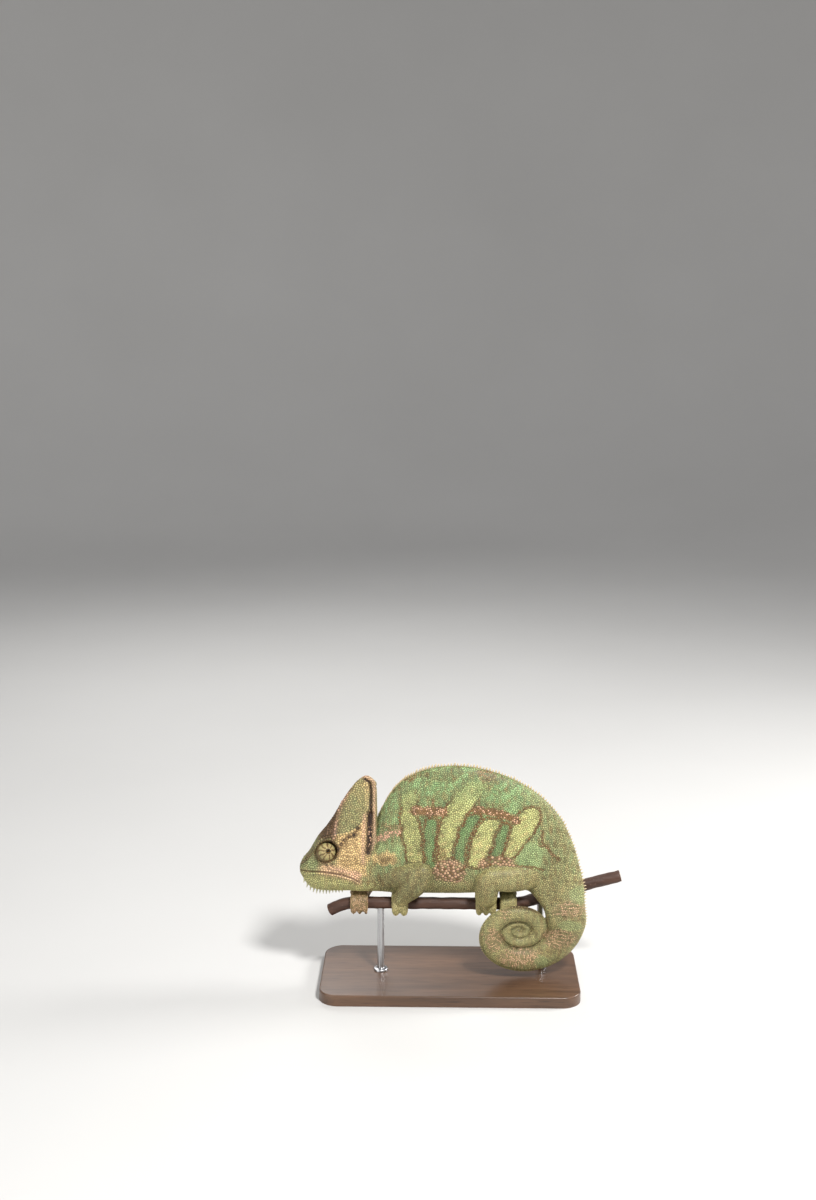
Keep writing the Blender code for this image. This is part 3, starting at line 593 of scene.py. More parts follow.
def flesh_shapes():
    """Every length of the flesh as (part, points, faces, keys)."""
    trunk, trunk_faces, keys = trunk_shape()
    shapes = [(TRUNK, trunk, trunk_faces, keys)]
    plain = [(HEAD, head_shape())]
    for i, limb in enumerate(LIMBS):
        palm = (limb["grip_x"], limb["side"] * 3.2, GRIP_Z + BRANCH_RADIUS + 2.2)
        feet = [ellipsoid(palm, np.array((PALM[0] * limb["bundle_width"], *PALM[1:])) - COAT_DEPTH)]
        feet += [toe_shape(*toe) for toe in (*toes_of(limb), *webs_of(limb))]
        plain += [(UPPER + 10 * i, limb_shape(limb["upper"])), (LOWER + 10 * i, limb_shape(limb["lower"]))]
        plain += [(FOOT + 10 * i, foot) for foot in feet]
    shapes += [(label, points, faces, np.zeros(len(points))) for label, (points, faces) in plain]
    return shapes


def part_of(labels):
    """A label is the part, and ten times the limb's number."""
    return labels % 10


def fused(shapes):
    """One closed surface round all the shapes, as points and quads in millimetres."""
    points, faces = joined([(points, faces) for _, points, faces, _ in shapes])
    raw = mesh_object("flesh", points, faces)
    remesh = raw.modifiers.new("fuse", "REMESH")
    remesh.mode = "VOXEL"
    remesh.voxel_size = VOXEL * MM
    graph = bpy.context.evaluated_depsgraph_get()
    mesh = bpy.data.meshes.new_from_object(raw.evaluated_get(graph))
    bpy.data.objects.remove(raw)
    points = (read(mesh.vertices, "co", 3) / MM).astype(float)
    quads = read(mesh.loops, "vertex_index", 1, np.int32).reshape(-1, 4)
    edges = read(mesh.edges, "vertices", 2, np.int32)
    bpy.data.meshes.remove(mesh)
    return points, quads, edges


def tree_of(points):
    """A tree for finding the points near a place."""
    tree = KDTree(len(points))
    for i, place in enumerate(points):
        tree.insert(place, i)
    tree.balance()
    return tree


def surface_tree(points, faces):
    """A tree for finding places on a surface."""
    return BVHTree.FromPolygons(points.tolist(), faces.tolist())


def nearest_source(points, shapes):
    """The label and the trunk's key at each point, from the nearest point of the shapes."""
    sources = np.concatenate([shape for _, shape, _, _ in shapes])
    labels = np.concatenate([np.full(len(shape), label) for label, shape, _, _ in shapes])
    keys = np.concatenate([shape_keys for _, _, _, shape_keys in shapes])
    tree = tree_of(sources)
    nearest = np.array([tree.find(place)[1] for place in points])
    return labels[nearest], keys[nearest]


def refined(points, quads, chosen):
    """Triangles from quads, with the chosen quads split in four and their neighbours fitted to them."""
    count = len(points)
    ends = np.stack([quads, np.roll(quads, -1, axis=1)], axis=2)
    names = np.sort(ends, axis=2) @ np.array([count, 1], np.int64)
    split = np.unique(names[chosen])
    middles = (points[split // count] + points[split % count]) / 2
    centres = points[quads[chosen]].mean(axis=1)
    place = np.searchsorted(split, names).clip(0, len(split) - 1)
    has_middle = split[place] == names
    middle = place + count
    fine, fine_middle = quads[chosen], middle[chosen]
    centre = count + len(split) + np.arange(len(fine))
    faces = []
    for i in range(4):
        before, after = fine_middle[:, i - 1], fine_middle[:, i]
        faces += [np.stack([before, fine[:, i], after], axis=1), np.stack([before, after, centre], axis=1)]
    edge = ~chosen & has_middle.any(axis=1)
    for corners, cuts, mids in zip(quads[edge], has_middle[edge], middle[edge]):
        ring = [v for i in range(4) for v in ([corners[i], mids[i]] if cuts[i] else [corners[i]])]
        first = next(i for i, v in enumerate(ring) if v >= count)
        ring = ring[first:] + ring[:first]
        faces.append(np.array([(ring[0], ring[i], ring[i + 1]) for i in range(1, len(ring) - 1)]))
    plain = quads[~chosen & ~edge]
    faces += [plain[:, [0, 1, 2]], plain[:, [0, 2, 3]]]
    return np.concatenate([points, middles, centres]), np.concatenate(faces)


def edges_of(faces):
    """Each edge of the triangles once."""
    pairs = np.concatenate([faces[:, [0, 1]], faces[:, [1, 2]], faces[:, [2, 0]]])
    return np.unique(np.sort(pairs, axis=1), axis=0)


def point_normals(points, faces):
    """Which way the surface faces at each point, weighted by the area of the triangles round it."""
    a, b, c = (points[faces[:, i]] for i in range(3))
    normal = np.cross(b - a, c - a)
    total = np.zeros_like(points)
    for axis in range(3):
        for i in range(3):
            total[:, axis] += np.bincount(faces[:, i], normal[:, axis], len(points))
    return unit(total)


def relaxed(points, edges, weights, factors):
    """Moves each point towards its neighbours' middle, once for each factor."""
    a, b = edges[:, 0], edges[:, 1]
    degree = np.bincount(edges.ravel(), minlength=len(points))[:, None]
    for factor in factors:
        total = np.empty_like(points)
        for axis in range(3):
            total[:, axis] = (np.bincount(a, points[b, axis], len(points))
                              + np.bincount(b, points[a, axis], len(points)))
        points = points + (factor * weights)[:, None] * (total / degree - points)
    return points


def line_distance(x, z, line):
    """Distance in a plane from points to a line of straight pieces."""
    here, best = np.stack([x, z], axis=1), np.full(len(x), 1e9)
    for start, end in zip(np.array(line, float), np.array(line, float)[1:]):
        way = end - start
        t = np.clip((here - start) @ way / (way @ way), 0, 1)
        best = np.minimum(best, np.linalg.norm(here - start - t[:, None] * way, axis=1))
    return best


def ripple(points, length, seed):
    """A smooth random field, mostly from -1 to 1, that varies over a length."""
    rng = np.random.default_rng(seed)
    total = np.zeros(len(points))
    for _ in range(7):
        way = unit(rng.normal(size=3)) * rng.uniform(0.6, 1.6) * 2 * math.pi / length
        total += np.sin(points @ way + rng.uniform(0, 2 * math.pi))
    return total / 2.6


# The skin


def eye_axes(side):
    """The socket's centre, the eye's axis, and two directions across it."""
    axis = np.array(EYE_AXES[side].normalized())
    centre = np.array(EYE_CENTRE) * (1, math.copysign(1, axis[1]), 1)
    across = unit(np.cross((0, 0, 1), axis))
    return centre, axis, across, np.cross(axis, across)


def from_eye(points, side):
    """Distance from an eye's axis, and the height along it."""
    centre, axis, _, _ = eye_axes(side)
    offset = points - centre
    height = offset @ axis
    return np.linalg.norm(offset - height[:, None] * axis, axis=1), height


def bump(distance, width):
    """1 at no distance, and less away from it."""
    return np.exp(-((distance / width) ** 2))


def near_line(x, z, line, width):
    """1 on a line, and less away from it."""
    return bump(line_distance(x, z, line), width)


def head_relief(points, normals):
    """How far the head's folds, pits and swellings stand out at each point."""
    x, z = points[:, 0], points[:, 2]
    facing = step(0.1, 0.45, np.abs(normals[:, 1]))
    height = sum(up * near_line(x, z, line, width) for line, width, up in FOLDS)
    for middle_x, middle_z, long, tall, up in SWELLINGS:
        height = height + up * np.exp(-(((x - middle_x) / long) ** 2 + ((z - middle_z) / tall) ** 2))
    pit = np.hypot(x - NOSTRIL[0], z - NOSTRIL[1])
    height = height - 1.3 * bump(pit, NOSTRIL_RADIUS) + 0.35 * bump(pit - 1.8 * NOSTRIL_RADIUS, 0.6)
    height = height * facing
    for side in EYE_AXES:
        away, along = from_eye(points, side)
        near = step(-7.0, -2.0, along)
        for radius, width, up in (SOCKET_GROOVE, SOCKET_RIM):
            ring = bump(away - radius, width)
            height = height * (1 - 0.8 * near * ring) + near * up * ring
        height = np.where((away < LID_RADIUS) & (along > -4), -np.maximum(along + 1.4, 2.0), height)
    return height


def body_relief(points, keys):
    """Slack folds of the neck and shoulders, and the slight waves of the flanks."""
    x, z = points[:, 0], points[:, 2]
    neck = bump(keys - 0.6, 0.6) * step(70, 84, z)
    flank = bump(keys - 4.5, 3.2) * step(76, 96, z) * fall(130, 150, z)
    waves = np.sin(x * 2 * math.pi / 3.4 + 0.8 * ripple(points, 18, 3))
    ribs = np.sin((x + 0.12 * z) * 2 * math.pi / 8.5 + 0.5 * ripple(points, 30, 4))
    return 0.22 * neck * waves + 0.16 * flank * ribs


def joint_weights(points):
    """Where the limbs flow into the body, bend, and end in the feet."""
    weight = np.zeros(len(points))
    for limb in LIMBS:
        upper, lower = limb["upper"], limb["lower"]
        for (x, y, z, _), reach in ((upper[0], 10.0), (upper[1], 6.0), (lower[0], 6.0), (lower[2], 6.0)):
            weight = np.maximum(weight, bump(np.linalg.norm(points - (x, y, z), axis=1), reach))
    return weight


def seam_weights(points):
    """Where the head flows into the neck, and the rump into the tail."""
    throat = bump(points[:, 0] - SEAM_X, 7.0) * fall(98, 112, points[:, 2])
    rump = bump(np.linalg.norm(points - TAIL_SEAM, axis=1), 17.0)
    return np.maximum(throat, rump)


def skin_surface():
    """The skin's points, triangles, normals, and each point's label and key."""
    shapes = flesh_shapes()
    points, quads, edges = fused(shapes)
    points = relaxed(points, edges, np.ones(len(points)), (0.5, -0.52) * 3)
    points = relaxed(points, edges, joint_weights(points), (0.5,) * JOINT_ROUNDS)
    points = relaxed(points, edges, seam_weights(points), (0.5,) * SEAM_ROUNDS)
    points, faces = refined(points, quads, points[quads][:, :, 0].max(axis=1) < FINE_X)
    edges = edges_of(faces)
    points = relaxed(points, edges, np.ones(len(points)), (0.5, -0.5))
    labels, keys = nearest_source(points, shapes)
    normals = point_normals(points, faces)
    parts = part_of(labels)
    points = points + normals * np.where(parts == HEAD, head_relief(points, normals), 0)[:, None]
    points = points + normals * np.where(parts == TRUNK, body_relief(points, keys), 0)[:, None]
    points = relaxed(points, edges, np.ones(len(points)), (0.3,))
    return points, faces, point_normals(points, faces), labels, keys


# The colour pattern. Bands are rows of w and the x of the front and rear edge.

YELLOW_BANDS = (
    ((146.0, -33.5, -24.5), (138.9, -34.6, -23.8), (127.4, -34.6, -25.2), (112.1, -34.6, -20.9),
     (100.6, -31.0, -20.2), (84.0, -28.8, -19.4)),
    ((151.9, 13.7, 28.1), (146.6, 5.8, 25.9), (138.9, 1.4, 19.4), (127.4, -3.6, 11.5), (115.9, -7.2, 5.8),
     (104.4, -9.4, 2.2), (92.5, -11.5, 0.0)),
    ((123.6, 23.0, 36.7), (112.1, 17.3, 31.7), (100.6, 14.4, 27.4), (88.3, 11.5, 22.3)),
    ((132.0, 52.4, 62.5), (125.9, 47.5, 64.1), (119.7, 44.6, 61.9), (108.3, 41.0, 54.7), (100.6, 38.9, 49.0),
     (94.2, 38.2, 43.9)),
)
BAND_TOPS = (130.0, 148.0)  # the bands and their borders fade between these heights
TEAL_BARS = (
    ((123.6, -18.0, -9.4), (104.4, -18.0, -10.1), (84.8, -18.0, -9.4)),
    ((126.6, 13.0, 21.6), (115.9, 7.2, 15.8), (104.4, 4.3, 11.5), (86.6, 1.4, 9.4)),
    ((119.7, 36.0, 42.5), (108.3, 31.7, 39.6), (95.0, 28.1, 36.0)),
)
BAND_BORDER = 0.5
ROW_SPACING = 2.6
ROWS_A_TURN = 72
CORNER = 1.3
THIGH_LINE = ((41.8, 89.1), (53.3, 88.3), (65.5, 86.0))
STRIPES = (  # a line in (x, w), its half width, how rusty and how pink its middle is
    (((-24.5, 129.7), (-14.4, 128.9), (-5.8, 128.9)), 4.4, 0.95, 0.68),
    (((-12.2, 129.7), (-12.2, 138.1)), 1.8, 0.8, 0.3),
    (((18.0, 130.5), (28.8, 129.7), (37.4, 127.4), (46.8, 122.8)), 4.0, 0.95, 0.66),
    (((-54.5, 106.2), (-48.0, 110.2), (-42.0, 112.2), (-37.0, 113.4)), 2.9, 0.2, 1.1),
    (((-47.5, 118.6), (-43.0, 117.0), (-37.4, 118.0)), 2.6, 0.55, 0.3),
    (THIGH_LINE, 0.9, 0.8, 0.1),
    (((64.8, 114.4), (65.5, 106.7), (71.3, 99.1), (77.0, 94.5)), 1.2, 0.8, 0.3),
    (((63.4, 103.7), (69.1, 104.4), (72.7, 96.8)), 1.1, 0.7, 0.2),
)
PATCHES = (  # x, w, their half lengths, how rusty and how pink
    (-0.7, 84.5, 12.5, 9.0, 0.98, 0.68),
    (33.1, 90.6, 13.0, 6.0, 0.9, 0.6),
    (-5.0, 97.0, 4.0, 5.0, 0.8, 0.0),
    (-29.5, 156.0, 8.0, 5.0, 0.85, 0.1),
    (25.9, 157.0, 7.0, 6.5, 0.8, 0.15),
    (85.0, 56.6, 12.0, 6.5, 0.32, 0.6),
    (77.8, 34.0, 12.0, 7.5, 0.34, 0.6),
    (50.0, 20.0, 15.0, 8.0, 0.34, 0.62),
    (31.0, 33.0, 6.5, 9.5, 0.3, 0.6),
    (39.6, 53.1, 3.5, 4.5, 0.3, 0.45),
)
GREEN_PATCHES = (  # x, w, their half lengths, and how green
    (56.0, 96.0, 12.0, 13.0, 0.75), (92.2, 67.7, 9.0, 8.0, 0.5), (86.0, 44.5, 9.0, 4.5, 0.5),
    (65.5, 16.3, 6.0, 6.0, 0.5), (32.0, 140.0, 10.0, 6.0, 0.75), (43.5, 132.0, 6.0, 5.5, 0.9),
    (-14.0, 143.0, 12.0, 12.0, 0.5), (-43.0, 133.0, 8.0, 12.0, 0.6), (-42.0, 101.0, 9.0, 6.5, 0.7),
)
COIL_INSIDE = (18.5, 21.0)  # the painted shade line between the turns fades out between these radii
NECK_GOLD = (-47.0, 93.5, 9.5, 5.6)  # x, w and its half lengths, as in the lip's corner
RIM_STRIPE = ((-61.0, 126.0), (-61.8, 110.0), (-62.0, 90.0))
LIP_CORNER = (-67.4, 80.6, 4.6, 4.0)
LIP_LINE = ((-82.8, 86.0), (-73.0, 83.2), (-66.2, 79.2))
DOTS = (  # x, w and radius; the first six lie on the ridge behind the eye
    (-80.2, 100.4, 2.0), (-77.4, 104.6, 1.1), (-75.6, 107.4, 1.4), (-72.2, 109.6, 1.2), (-68.4, 111.2, 1.9),
    (-65.4, 116.6, 1.4), (-85.0, 106.2, 1.5), (-81.6, 93.8, 1.1), (-84.4, 88.8, 1.1), (-88.2, 88.4, 0.9),
    (-57.8, 99.0, 1.6),
)
EYE_RING_RADIUS, EYE_RING_WIDTH = 7.5, 0.9


def seen(points):
    """The plane in which the pattern is given."""
    return points[:, 0], points[:, 2] - SEEN_SLOPE * np.abs(points[:, 1])


def within_band(x, w, rows):
    """Distance inside a band's outline with rounded corners, negative outside it."""
    rows = np.array(rows)[::-1]
    front, rear = (np.interp(w, rows[:, 0], rows[:, i]) for i in (1, 2))
    sides = np.array([x - front, rear - x, rows[-1, 0] - w, w - rows[0, 0]])
    return -CORNER * np.log(np.exp(np.clip(-sides / CORNER, -30, 30)).sum(axis=0))


def edged(paint, pigment, amount, inside, rough, fade=1.0):
    """Fills the inside of outlines, and draws an uneven rusty line round it."""
    inside = inside - BAND_BORDER + 0.3 * rough
    line = step(-3.3, -1.5, inside) * fall(-0.8, 0.5, inside)
    cover(paint, "rust", line * np.clip(0.85 + 0.3 * rough, 0, 1) * fade)
    cover(paint, pigment, amount * step(-0.9, 0.5, inside))
    paint["light"] += 0.07 * step(0.8, 3.0, inside)


def patch(x, w, middle_x, middle_w, long, tall):
    """1 in an oval patch, and 0 outside it."""
    return fall(0.75, 1.15, np.hypot((x - middle_x) / long, (w - middle_w) / tall))


def cover(paint, pigment, amount):
    """Brings a pigment up to an amount where it has less."""
    paint[pigment] = np.maximum(paint[pigment], amount)


def scale_rows(points, w):
    """Light and dark rows of scales: level on the trunk, and across the tail in its coil."""
    x, z = points[:, 0] - COIL_CENTRE[0], points[:, 2] - COIL_CENTRE[2]
    turn = np.arctan2(z, x)
    level = np.clip(step(-0.3, 0.2, turn) + step(40, 46, z), 0, 1)
    bend = 0.9 * ripple(points, 16, 28)
    flat_rows = np.sin(w * 2 * math.pi / ROW_SPACING + bend)
    return level * flat_rows + (1 - level) * np.sin(turn * ROWS_A_TURN + bend)


def sea_green(points, x, w):
    """Slanting patches of bright green on the back, and a few below."""
    slanted = np.stack([points[:, 0] - 0.45 * points[:, 2], points[:, 1], 0.42 * points[:, 2]], axis=1)
    sea = step(-0.3, 0.6, ripple(slanted, 6.8, 25)) * step(112, 126, w) * (1 - 0.8 * step(40, 72, x))
    for *place, amount in GREEN_PATCHES:
        sea = np.maximum(sea, amount * patch(x, w, *place))
    return sea


def body_paint(paint, points, normals, chance):
    """The trunk and the tail, whose lines waver a little."""
    x, w = seen(points)
    x = x + 0.5 * ripple(points, 12, 21) + 0.2 * ripple(points, 3.4, 27)
    w = w + 0.5 * ripple(points, 12, 22)
    bands, bars = (np.max([within_band(x, w, band) for band in group], axis=0)
                   for group in (YELLOW_BANDS, TEAL_BARS))
    streaks = ripple(points * (1, 1, 0.35), 4.2, 23)
    fine = ripple(points, 2.4, 24)
    rows = scale_rows(points, w)
    tail = np.clip(step(58, 76, x) + fall(60, 72, w), 0, 1)
    paint_ground(paint, points, (x, w), (streaks, fine, rows), tail, fall(-1, 1, np.maximum(bands, bars)))
    cover(paint, "rust", 0.5 * step(0.6, 0.95, normals[:, 2]) * step(140, 150, w) * step(0.2, 0.6, chance))
    paint_bands(paint, points, (x, w), (streaks, fine), (bands, bars), chance)
    for line, width, rust, pink in STRIPES:
        away = line_distance(x, w, line) / width + 0.12 * fine
        cover(paint, "rust", rust * fall(0.5, 1.25, away))
        beads = pink * fall(0.45, 0.95, away) * step(0.3, 0.6, chance + 0.6 * (pink - 0.75))
        cover(paint, "pink", beads)
        paint["light"] += 0.16 * beads * (pink - 0.5)
    ragged = x + 1.5 * ripple(points, 7, 35), w + 1.2 * ripple(points, 7, 36)
    for *place, rust, pink in PATCHES:
        inside = patch(*ragged, *place)
        cover(paint, "rust", rust * inside * (0.75 + 0.25 * fine))
        cover(paint, "pink", pink * inside * step(0.34, 0.5, chance + 0.2 * tail * (rows - 0.4)))
    paint_gold(paint, points, x, w)
    paint_coil(paint, points, normals)


def paint_ground(paint, points, spot, waves, tail, open_back):
    """Khaki and green in rows, bright green patches on the back, and a brown net and veins between bands."""
    x, w = spot
    streaks, fine, rows = waves
    back = step(72, 92, w) * (1 - 0.66 * step(44, 82, x))
    cover(paint, "green", 0.15 + 0.1 * streaks + back * (0.46 + 0.12 * streaks + 0.08 * fine)
          + 0.2 * step(112, 124, w) * fall(40, 60, x))
    sea = sea_green(points, x, w)
    cover(paint, "green", 0.95 * sea)
    cover(paint, "teal", 0.44 * sea * step(104, 122, w) * step(-0.3, 0.8, ripple(points, 8, 44)))
    bright = (0.25 + 0.12 * np.clip(fine, -1, 1)) * sea * open_back
    paint["light"] += bright + (0.04 + 0.06 * tail) * rows
    gaps = step(114, 126, w) * fall(36, 56, x) * open_back * (1 - sea)
    net = bump(ripple(points * (1, 1, 0.7), 6.0, 37), 0.3)
    net = net * step(108, 122, w) * fall(40, 60, x) * open_back
    cover(paint, "rust", np.maximum(0.26 * gaps, 0.42 * net))
    # Painted shade: the lower flanks and belly are darker, and so is the tail.
    paint["light"] -= 0.09 * np.clip(fall(80, 88, w) + tail, 0, 1)
    veins = step(0.2, 0.9, -ripple(points * (1, 1, 0.45), 5.5, 26)) * open_back
    upper = step(110, 124, w) * fall(36, 56, x) + fall(-42, -36, x) + 0.6 * step(50, 60, x)
    cover(paint, "rust", 0.62 * veins * np.clip(upper, 0, 1) * (1 - 0.75 * sea))
    paint["light"] -= 0.1 * step(36, 42, -x) * (1 - sea)


def paint_bands(paint, points, spot, waves, insides, chance):
    """Dark green bars and yellow bands with rusty outlines, clouded and warmer below."""
    x, w = spot
    streaks, fine = waves
    bands, bars = insides
    fade = 1 - 0.75 * step(*BAND_TOPS, w)
    edged(paint, "teal", 0.8 + 0.16 * streaks, bars, fine)
    paint["light"] += (0.14 * np.clip(streaks, -1, 1) + 0.1 * step(0.5, 3, bars)) * step(-0.5, 1, bars)
    edged(paint, "yellow", (0.3 + 0.7 * fade) * (0.84 + 0.1 * fine), bands, fine, fade)
    # Painted shade: the front bands are darker, with random clouding over all of them.
    shade = 0.1 * fall(-22, -12, x) + 0.05 * fall(8, 16, x) - 0.09 * ripple(points, 9, 40)
    paint["light"] -= step(-0.5, 1, bands) * shade
    warm = step(-0.2, 0.9, ripple(points, 5, 43) - 0.03 * (w - 100))
    cover(paint, "peach", 0.3 * step(0, 2, bands) * warm)
    cover(paint, "rust", 0.5 * step(-0.5, 0.5, bands) * fall(1.5, 4, bands) * (chance < 0.16))


def paint_coil(paint, points, normals):
    """A dark line of painted shade between the turns of the coil, and their paler sides near its middle."""
    away = np.hypot(points[:, 0] - COIL_CENTRE[0], points[:, 2] - COIL_CENTRE[2])
    groove = fall(0.25, 0.7, np.abs(normals[:, 1])) * fall(*COIL_INSIDE, away)
    cover(paint, "rust", 0.7 * groove)
    cover(paint, "dark", 0.5 * groove)
    paint["light"] += 0.1 * step(0.8, 0.95, np.abs(normals[:, 1])) * fall(24, 30, away)


def paint_gold(paint, points, x, w):
    """The golden patch behind the cheek, with brown streaks."""
    streaks = ripple(points * (1, 1, 0.3), 3.6, 29)
    gold = patch(x, w + 1.4 * streaks, *NECK_GOLD)
    cover(paint, "peach", 0.7 * gold)
    cover(paint, "yellow", 0.35 * gold)
    cover(paint, "rust", gold * (0.04 + 0.34 * step(0.1, 0.8, streaks)))
    paint["light"] += 0.06 * gold


def head_paint(paint, points, normals, chance):
    """The casque, cheek, lips, throat and crown, and the ring round each eye."""
    x, w = seen(points)
    z = points[:, 2]
    mottle = ripple(points, 5, 31)
    above = step(-1.0, 1.0, z - table_at(SIDE_RIDGE, x))
    over = z - table_at(MOUTH_LINE, x)
    cover(paint, "green", 0.16 + 0.1 * mottle + 0.3 * fall(-97, -88, x) * step(0, 3, over))
    paint_casque(paint, points, above, mottle)
    throat = fall(-3, 0, over)
    cover(paint, "yellow", 0.5 * throat * (0.7 + 0.4 * np.sin(x * 2 * math.pi / 4.2 + mottle)))
    paint["light"] += 0.1 * throat
    behind = step(-64, -58, x) * fall(94, 104, z)
    cover(paint, "rust", 0.6 * behind * step(0.0, 0.7, ripple(points * (1, 1, 0.25), 3.4, 34)))
    paint_gold(paint, points, x, w)
    paint_cheek(paint, points, (x, w), above, over, chance)
    paint_crown(paint, points, normals, above, chance)
    paint_rim(paint, points, normals, chance)
    for dot_x, dot_w, radius in DOTS:
        cover(paint, "dark", 0.97 * bump(np.hypot(x - dot_x, w - dot_w), radius))
    cover(paint, "rust", 0.75 * near_line(x, w, [dot[:2] for dot in DOTS[:6]], 1.3))
    cover(paint, "rust", 0.5 * bump(over, 0.6))
    for side in EYE_AXES:
        away, along = from_eye(points, side)
        centre, _, across, up = eye_axes(side)
        turn = np.arctan2((points - centre) @ up, (points - centre) @ across * across[0])
        ring = bump(away - EYE_RING_RADIUS, EYE_RING_WIDTH) * step(-8, -4, along)
        cover(paint, "rust", 0.85 * ring)
        # The ring's brown is its own colour; the dark added to it, heaviest towards the top, is painted shade
        # of the socket's recess.
        cover(paint, "dark", (0.22 + 0.3 * np.sin(turn + 0.4)) * ring)


def paint_casque(paint, points, above, mottle):
    """Khaki rows up the casque's side, warmer along its rear edge."""
    x, z = points[:, 0], points[:, 2]
    columns = np.sin((x + 0.2 * z) * 2 * math.pi / 2.7 + 0.8 * mottle)
    cover(paint, "green", above * (0.12 + 0.12 * mottle))
    paint["light"] += above * (0.07 * columns + 0.05 * step(128, 150, z) - 0.1)
    rear = 0.35 * step(-63, -59, x) * fall(-58.5, -57.5, x)
    cover(paint, "peach", above * (0.2 * step(138, 150, z) + rear))


def paint_cheek(paint, points, spot, above, over, chance):
    """Pale and brown bars over peach, a pale stripe behind, and the lips' pink beads."""
    x, w = spot
    ragged = x + 2.6 * ripple(points * (1, 1, 0.5), 6, 33)
    cheek = (1 - above) * step(-84, -78, x) * step(2.5, 6.0, over) * fall(-63, -54, ragged)
    bars = 0.5 + 0.5 * np.sin(w * 2 * math.pi / 3.0 + 0.9 * ripple(points, 8, 32))
    bars = bars * step(-0.9, 0.2, ripple(points * (1, 1, 0.4), 5, 39))
    middle = step(-82, -77, x) * fall(-66, -62, x) * step(84, 90, w) * fall(105, 111, w)
    cover(paint, "peach", 0.84 * cheek)
    cover(paint, "yellow", cheek * (0.12 + 0.22 * middle * bars))
    cover(paint, "rust", cheek * np.maximum(0.36 * middle * step(0.3, 0.9, 1 - bars), 0.45 * (chance < 0.12)))
    paint["light"] += cheek * (0.06 + 0.13 * middle * bars)
    stripe = near_line(x, w, RIM_STRIPE, 1.5)
    cover(paint, "pink", 0.7 * stripe)
    paint["light"] += 0.1 * stripe
    lips = np.clip(1.4 * bump(over - 2.0, 3.9), 0, 1) * step(-97, -88, x) * fall(-65.5, -62, x)
    corner = patch(x, w, *LIP_CORNER)
    lips = np.maximum(0.8 * lips, corner)
    cover(paint, "peach", 0.9 * lips)
    cover(paint, "pink", lips * (0.5 + 0.4 * step(0.3, 0.5, chance)))
    cover(paint, "rust", 0.6 * lips * fall(0.15, 0.3, chance))
    line = near_line(x, w, LIP_LINE, 0.9)
    cover(paint, "pink", line)
    paint["light"] += 0.1 * line + 0.1 * lips * step(0.3, 0.6, chance)


def paint_crown(paint, points, normals, above, chance):
    """Dark brown in front of the casque's edge and over the brow, with pink beads."""
    x, z = points[:, 0], points[:, 2]
    front = table_at([(height, place) for place, height in FRONT_EDGE[::-1]], z)
    crown = step(-0.5, 1.0, front - x) * step(105, 117, z + 2 * ripple(points, 5, 38))
    brow = near_line(x, z, CANTHUS, 1.4) + step(0.45, 0.8, normals[:, 2]) * step(94, 99, z)
    crown = np.clip(crown + 0.6 * brow * (1 - above * step(-80, -76, x)), 0, 1)
    cover(paint, "rust", 0.9 * crown)
    cover(paint, "dark", crown * (0.3 + 0.35 * step(0.3, 0.7, chance)))
    cover(paint, "pink", 0.4 * crown * fall(0.2, 0.35, chance))
    cover(paint, "rust", 0.7 * near_line(x, z, FRONT_EDGE, 2.6))
    cover(paint, "pink", 0.9 * near_line(x, z, FRONT_EDGE, 1.5) * step(0.3, 0.5, chance))


def paint_rim(paint, points, normals, chance):
    """The casque's pale rear rim, and the dark groove and beaded hollow before it."""
    x, z = points[:, 0], points[:, 2]
    rim = near_line(x, z, RIM_EDGE, 1.25)
    cover(paint, "pink", 0.8 * rim)
    paint["light"] += 0.14 * rim
    groove = near_line(x, z, RIM_GROOVE, 1.0)
    hollow = np.clip(1.3 * near_line(x, z, RIM_HOLLOW, 2.1), 0, 1)
    foot = bump(np.hypot(x - RIM_HOLLOW[-1][0], z - RIM_HOLLOW[-1][1]), 2.2)
    cover(paint, "rust", np.maximum(groove, hollow))
    beads = hollow * (1 - foot) * step(-58.6, -57.4, x) * fall(118, 123, z) * (chance > 0.45)
    # The groove's dark is its own colour; the dark of the hollow and, deepest, of its foot is painted shade
    # in the recess.
    cover(paint, "dark", np.maximum.reduce([0.85 * groove, 0.9 * hollow * (1 - beads), 0.95 * foot]))
    cover(paint, "pink", 0.75 * beads)
    # Painted shade on the rear-facing side behind the rim.
    cover(paint, "dark", 0.3 * step(-55.5, -53.6, x) * step(0.3, 0.8, normals[:, 0]))


def limb_paint(paint, points, normals, chance):
    """Plain khaki, paler above as painted light, and warmer towards the feet and on the far side."""
    x, w = seen(points)
    z = points[:, 2]
    streaks = ripple(points * (1, 1, 0.4), 4.5, 41)
    far = step(46, 52, -x) * fall(76, 86, z)
    foot = fall(60, 72, z)
    cover(paint, "green", 0.12 + 0.1 * streaks)
    # Yellow on upward-facing surfaces is painted light.
    cover(paint, "yellow", 0.3 * step(0.3, 0.9, normals[:, 2]) + 0.2 * foot * (1 - far))
    cover(paint, "peach", 0.06 * foot + 0.24 * far)
    cover(paint, "pink", (0.1 * foot + 0.4 * far) * step(0.3, 0.6, chance))
    cover(paint, "rust", 0.5 * far + 0.24 * step(0.0, 0.9, ripple(points, 6, 42)) * (1 - foot))
    cover(paint, "rust", 0.6 * fall(0.6, 1.2, line_distance(x, w, THIGH_LINE)))
    # Painted shade darkens the forelegs above the feet, and a painted highlight lightens the feet.
    front = fall(10, 20, x) * (1 - foot)
    rows = np.sin(z * 2 * math.pi / ROW_SPACING + streaks)
    paint["light"] += 0.05 * rows + 0.18 * foot * (1 - far) - 0.17 * front - 0.04


PIGMENTS = ("green", "teal", "yellow", "rust", "pink", "dark", "peach", "light")


def no_paint(count):
    return {pigment: np.zeros(count) for pigment in PIGMENTS}


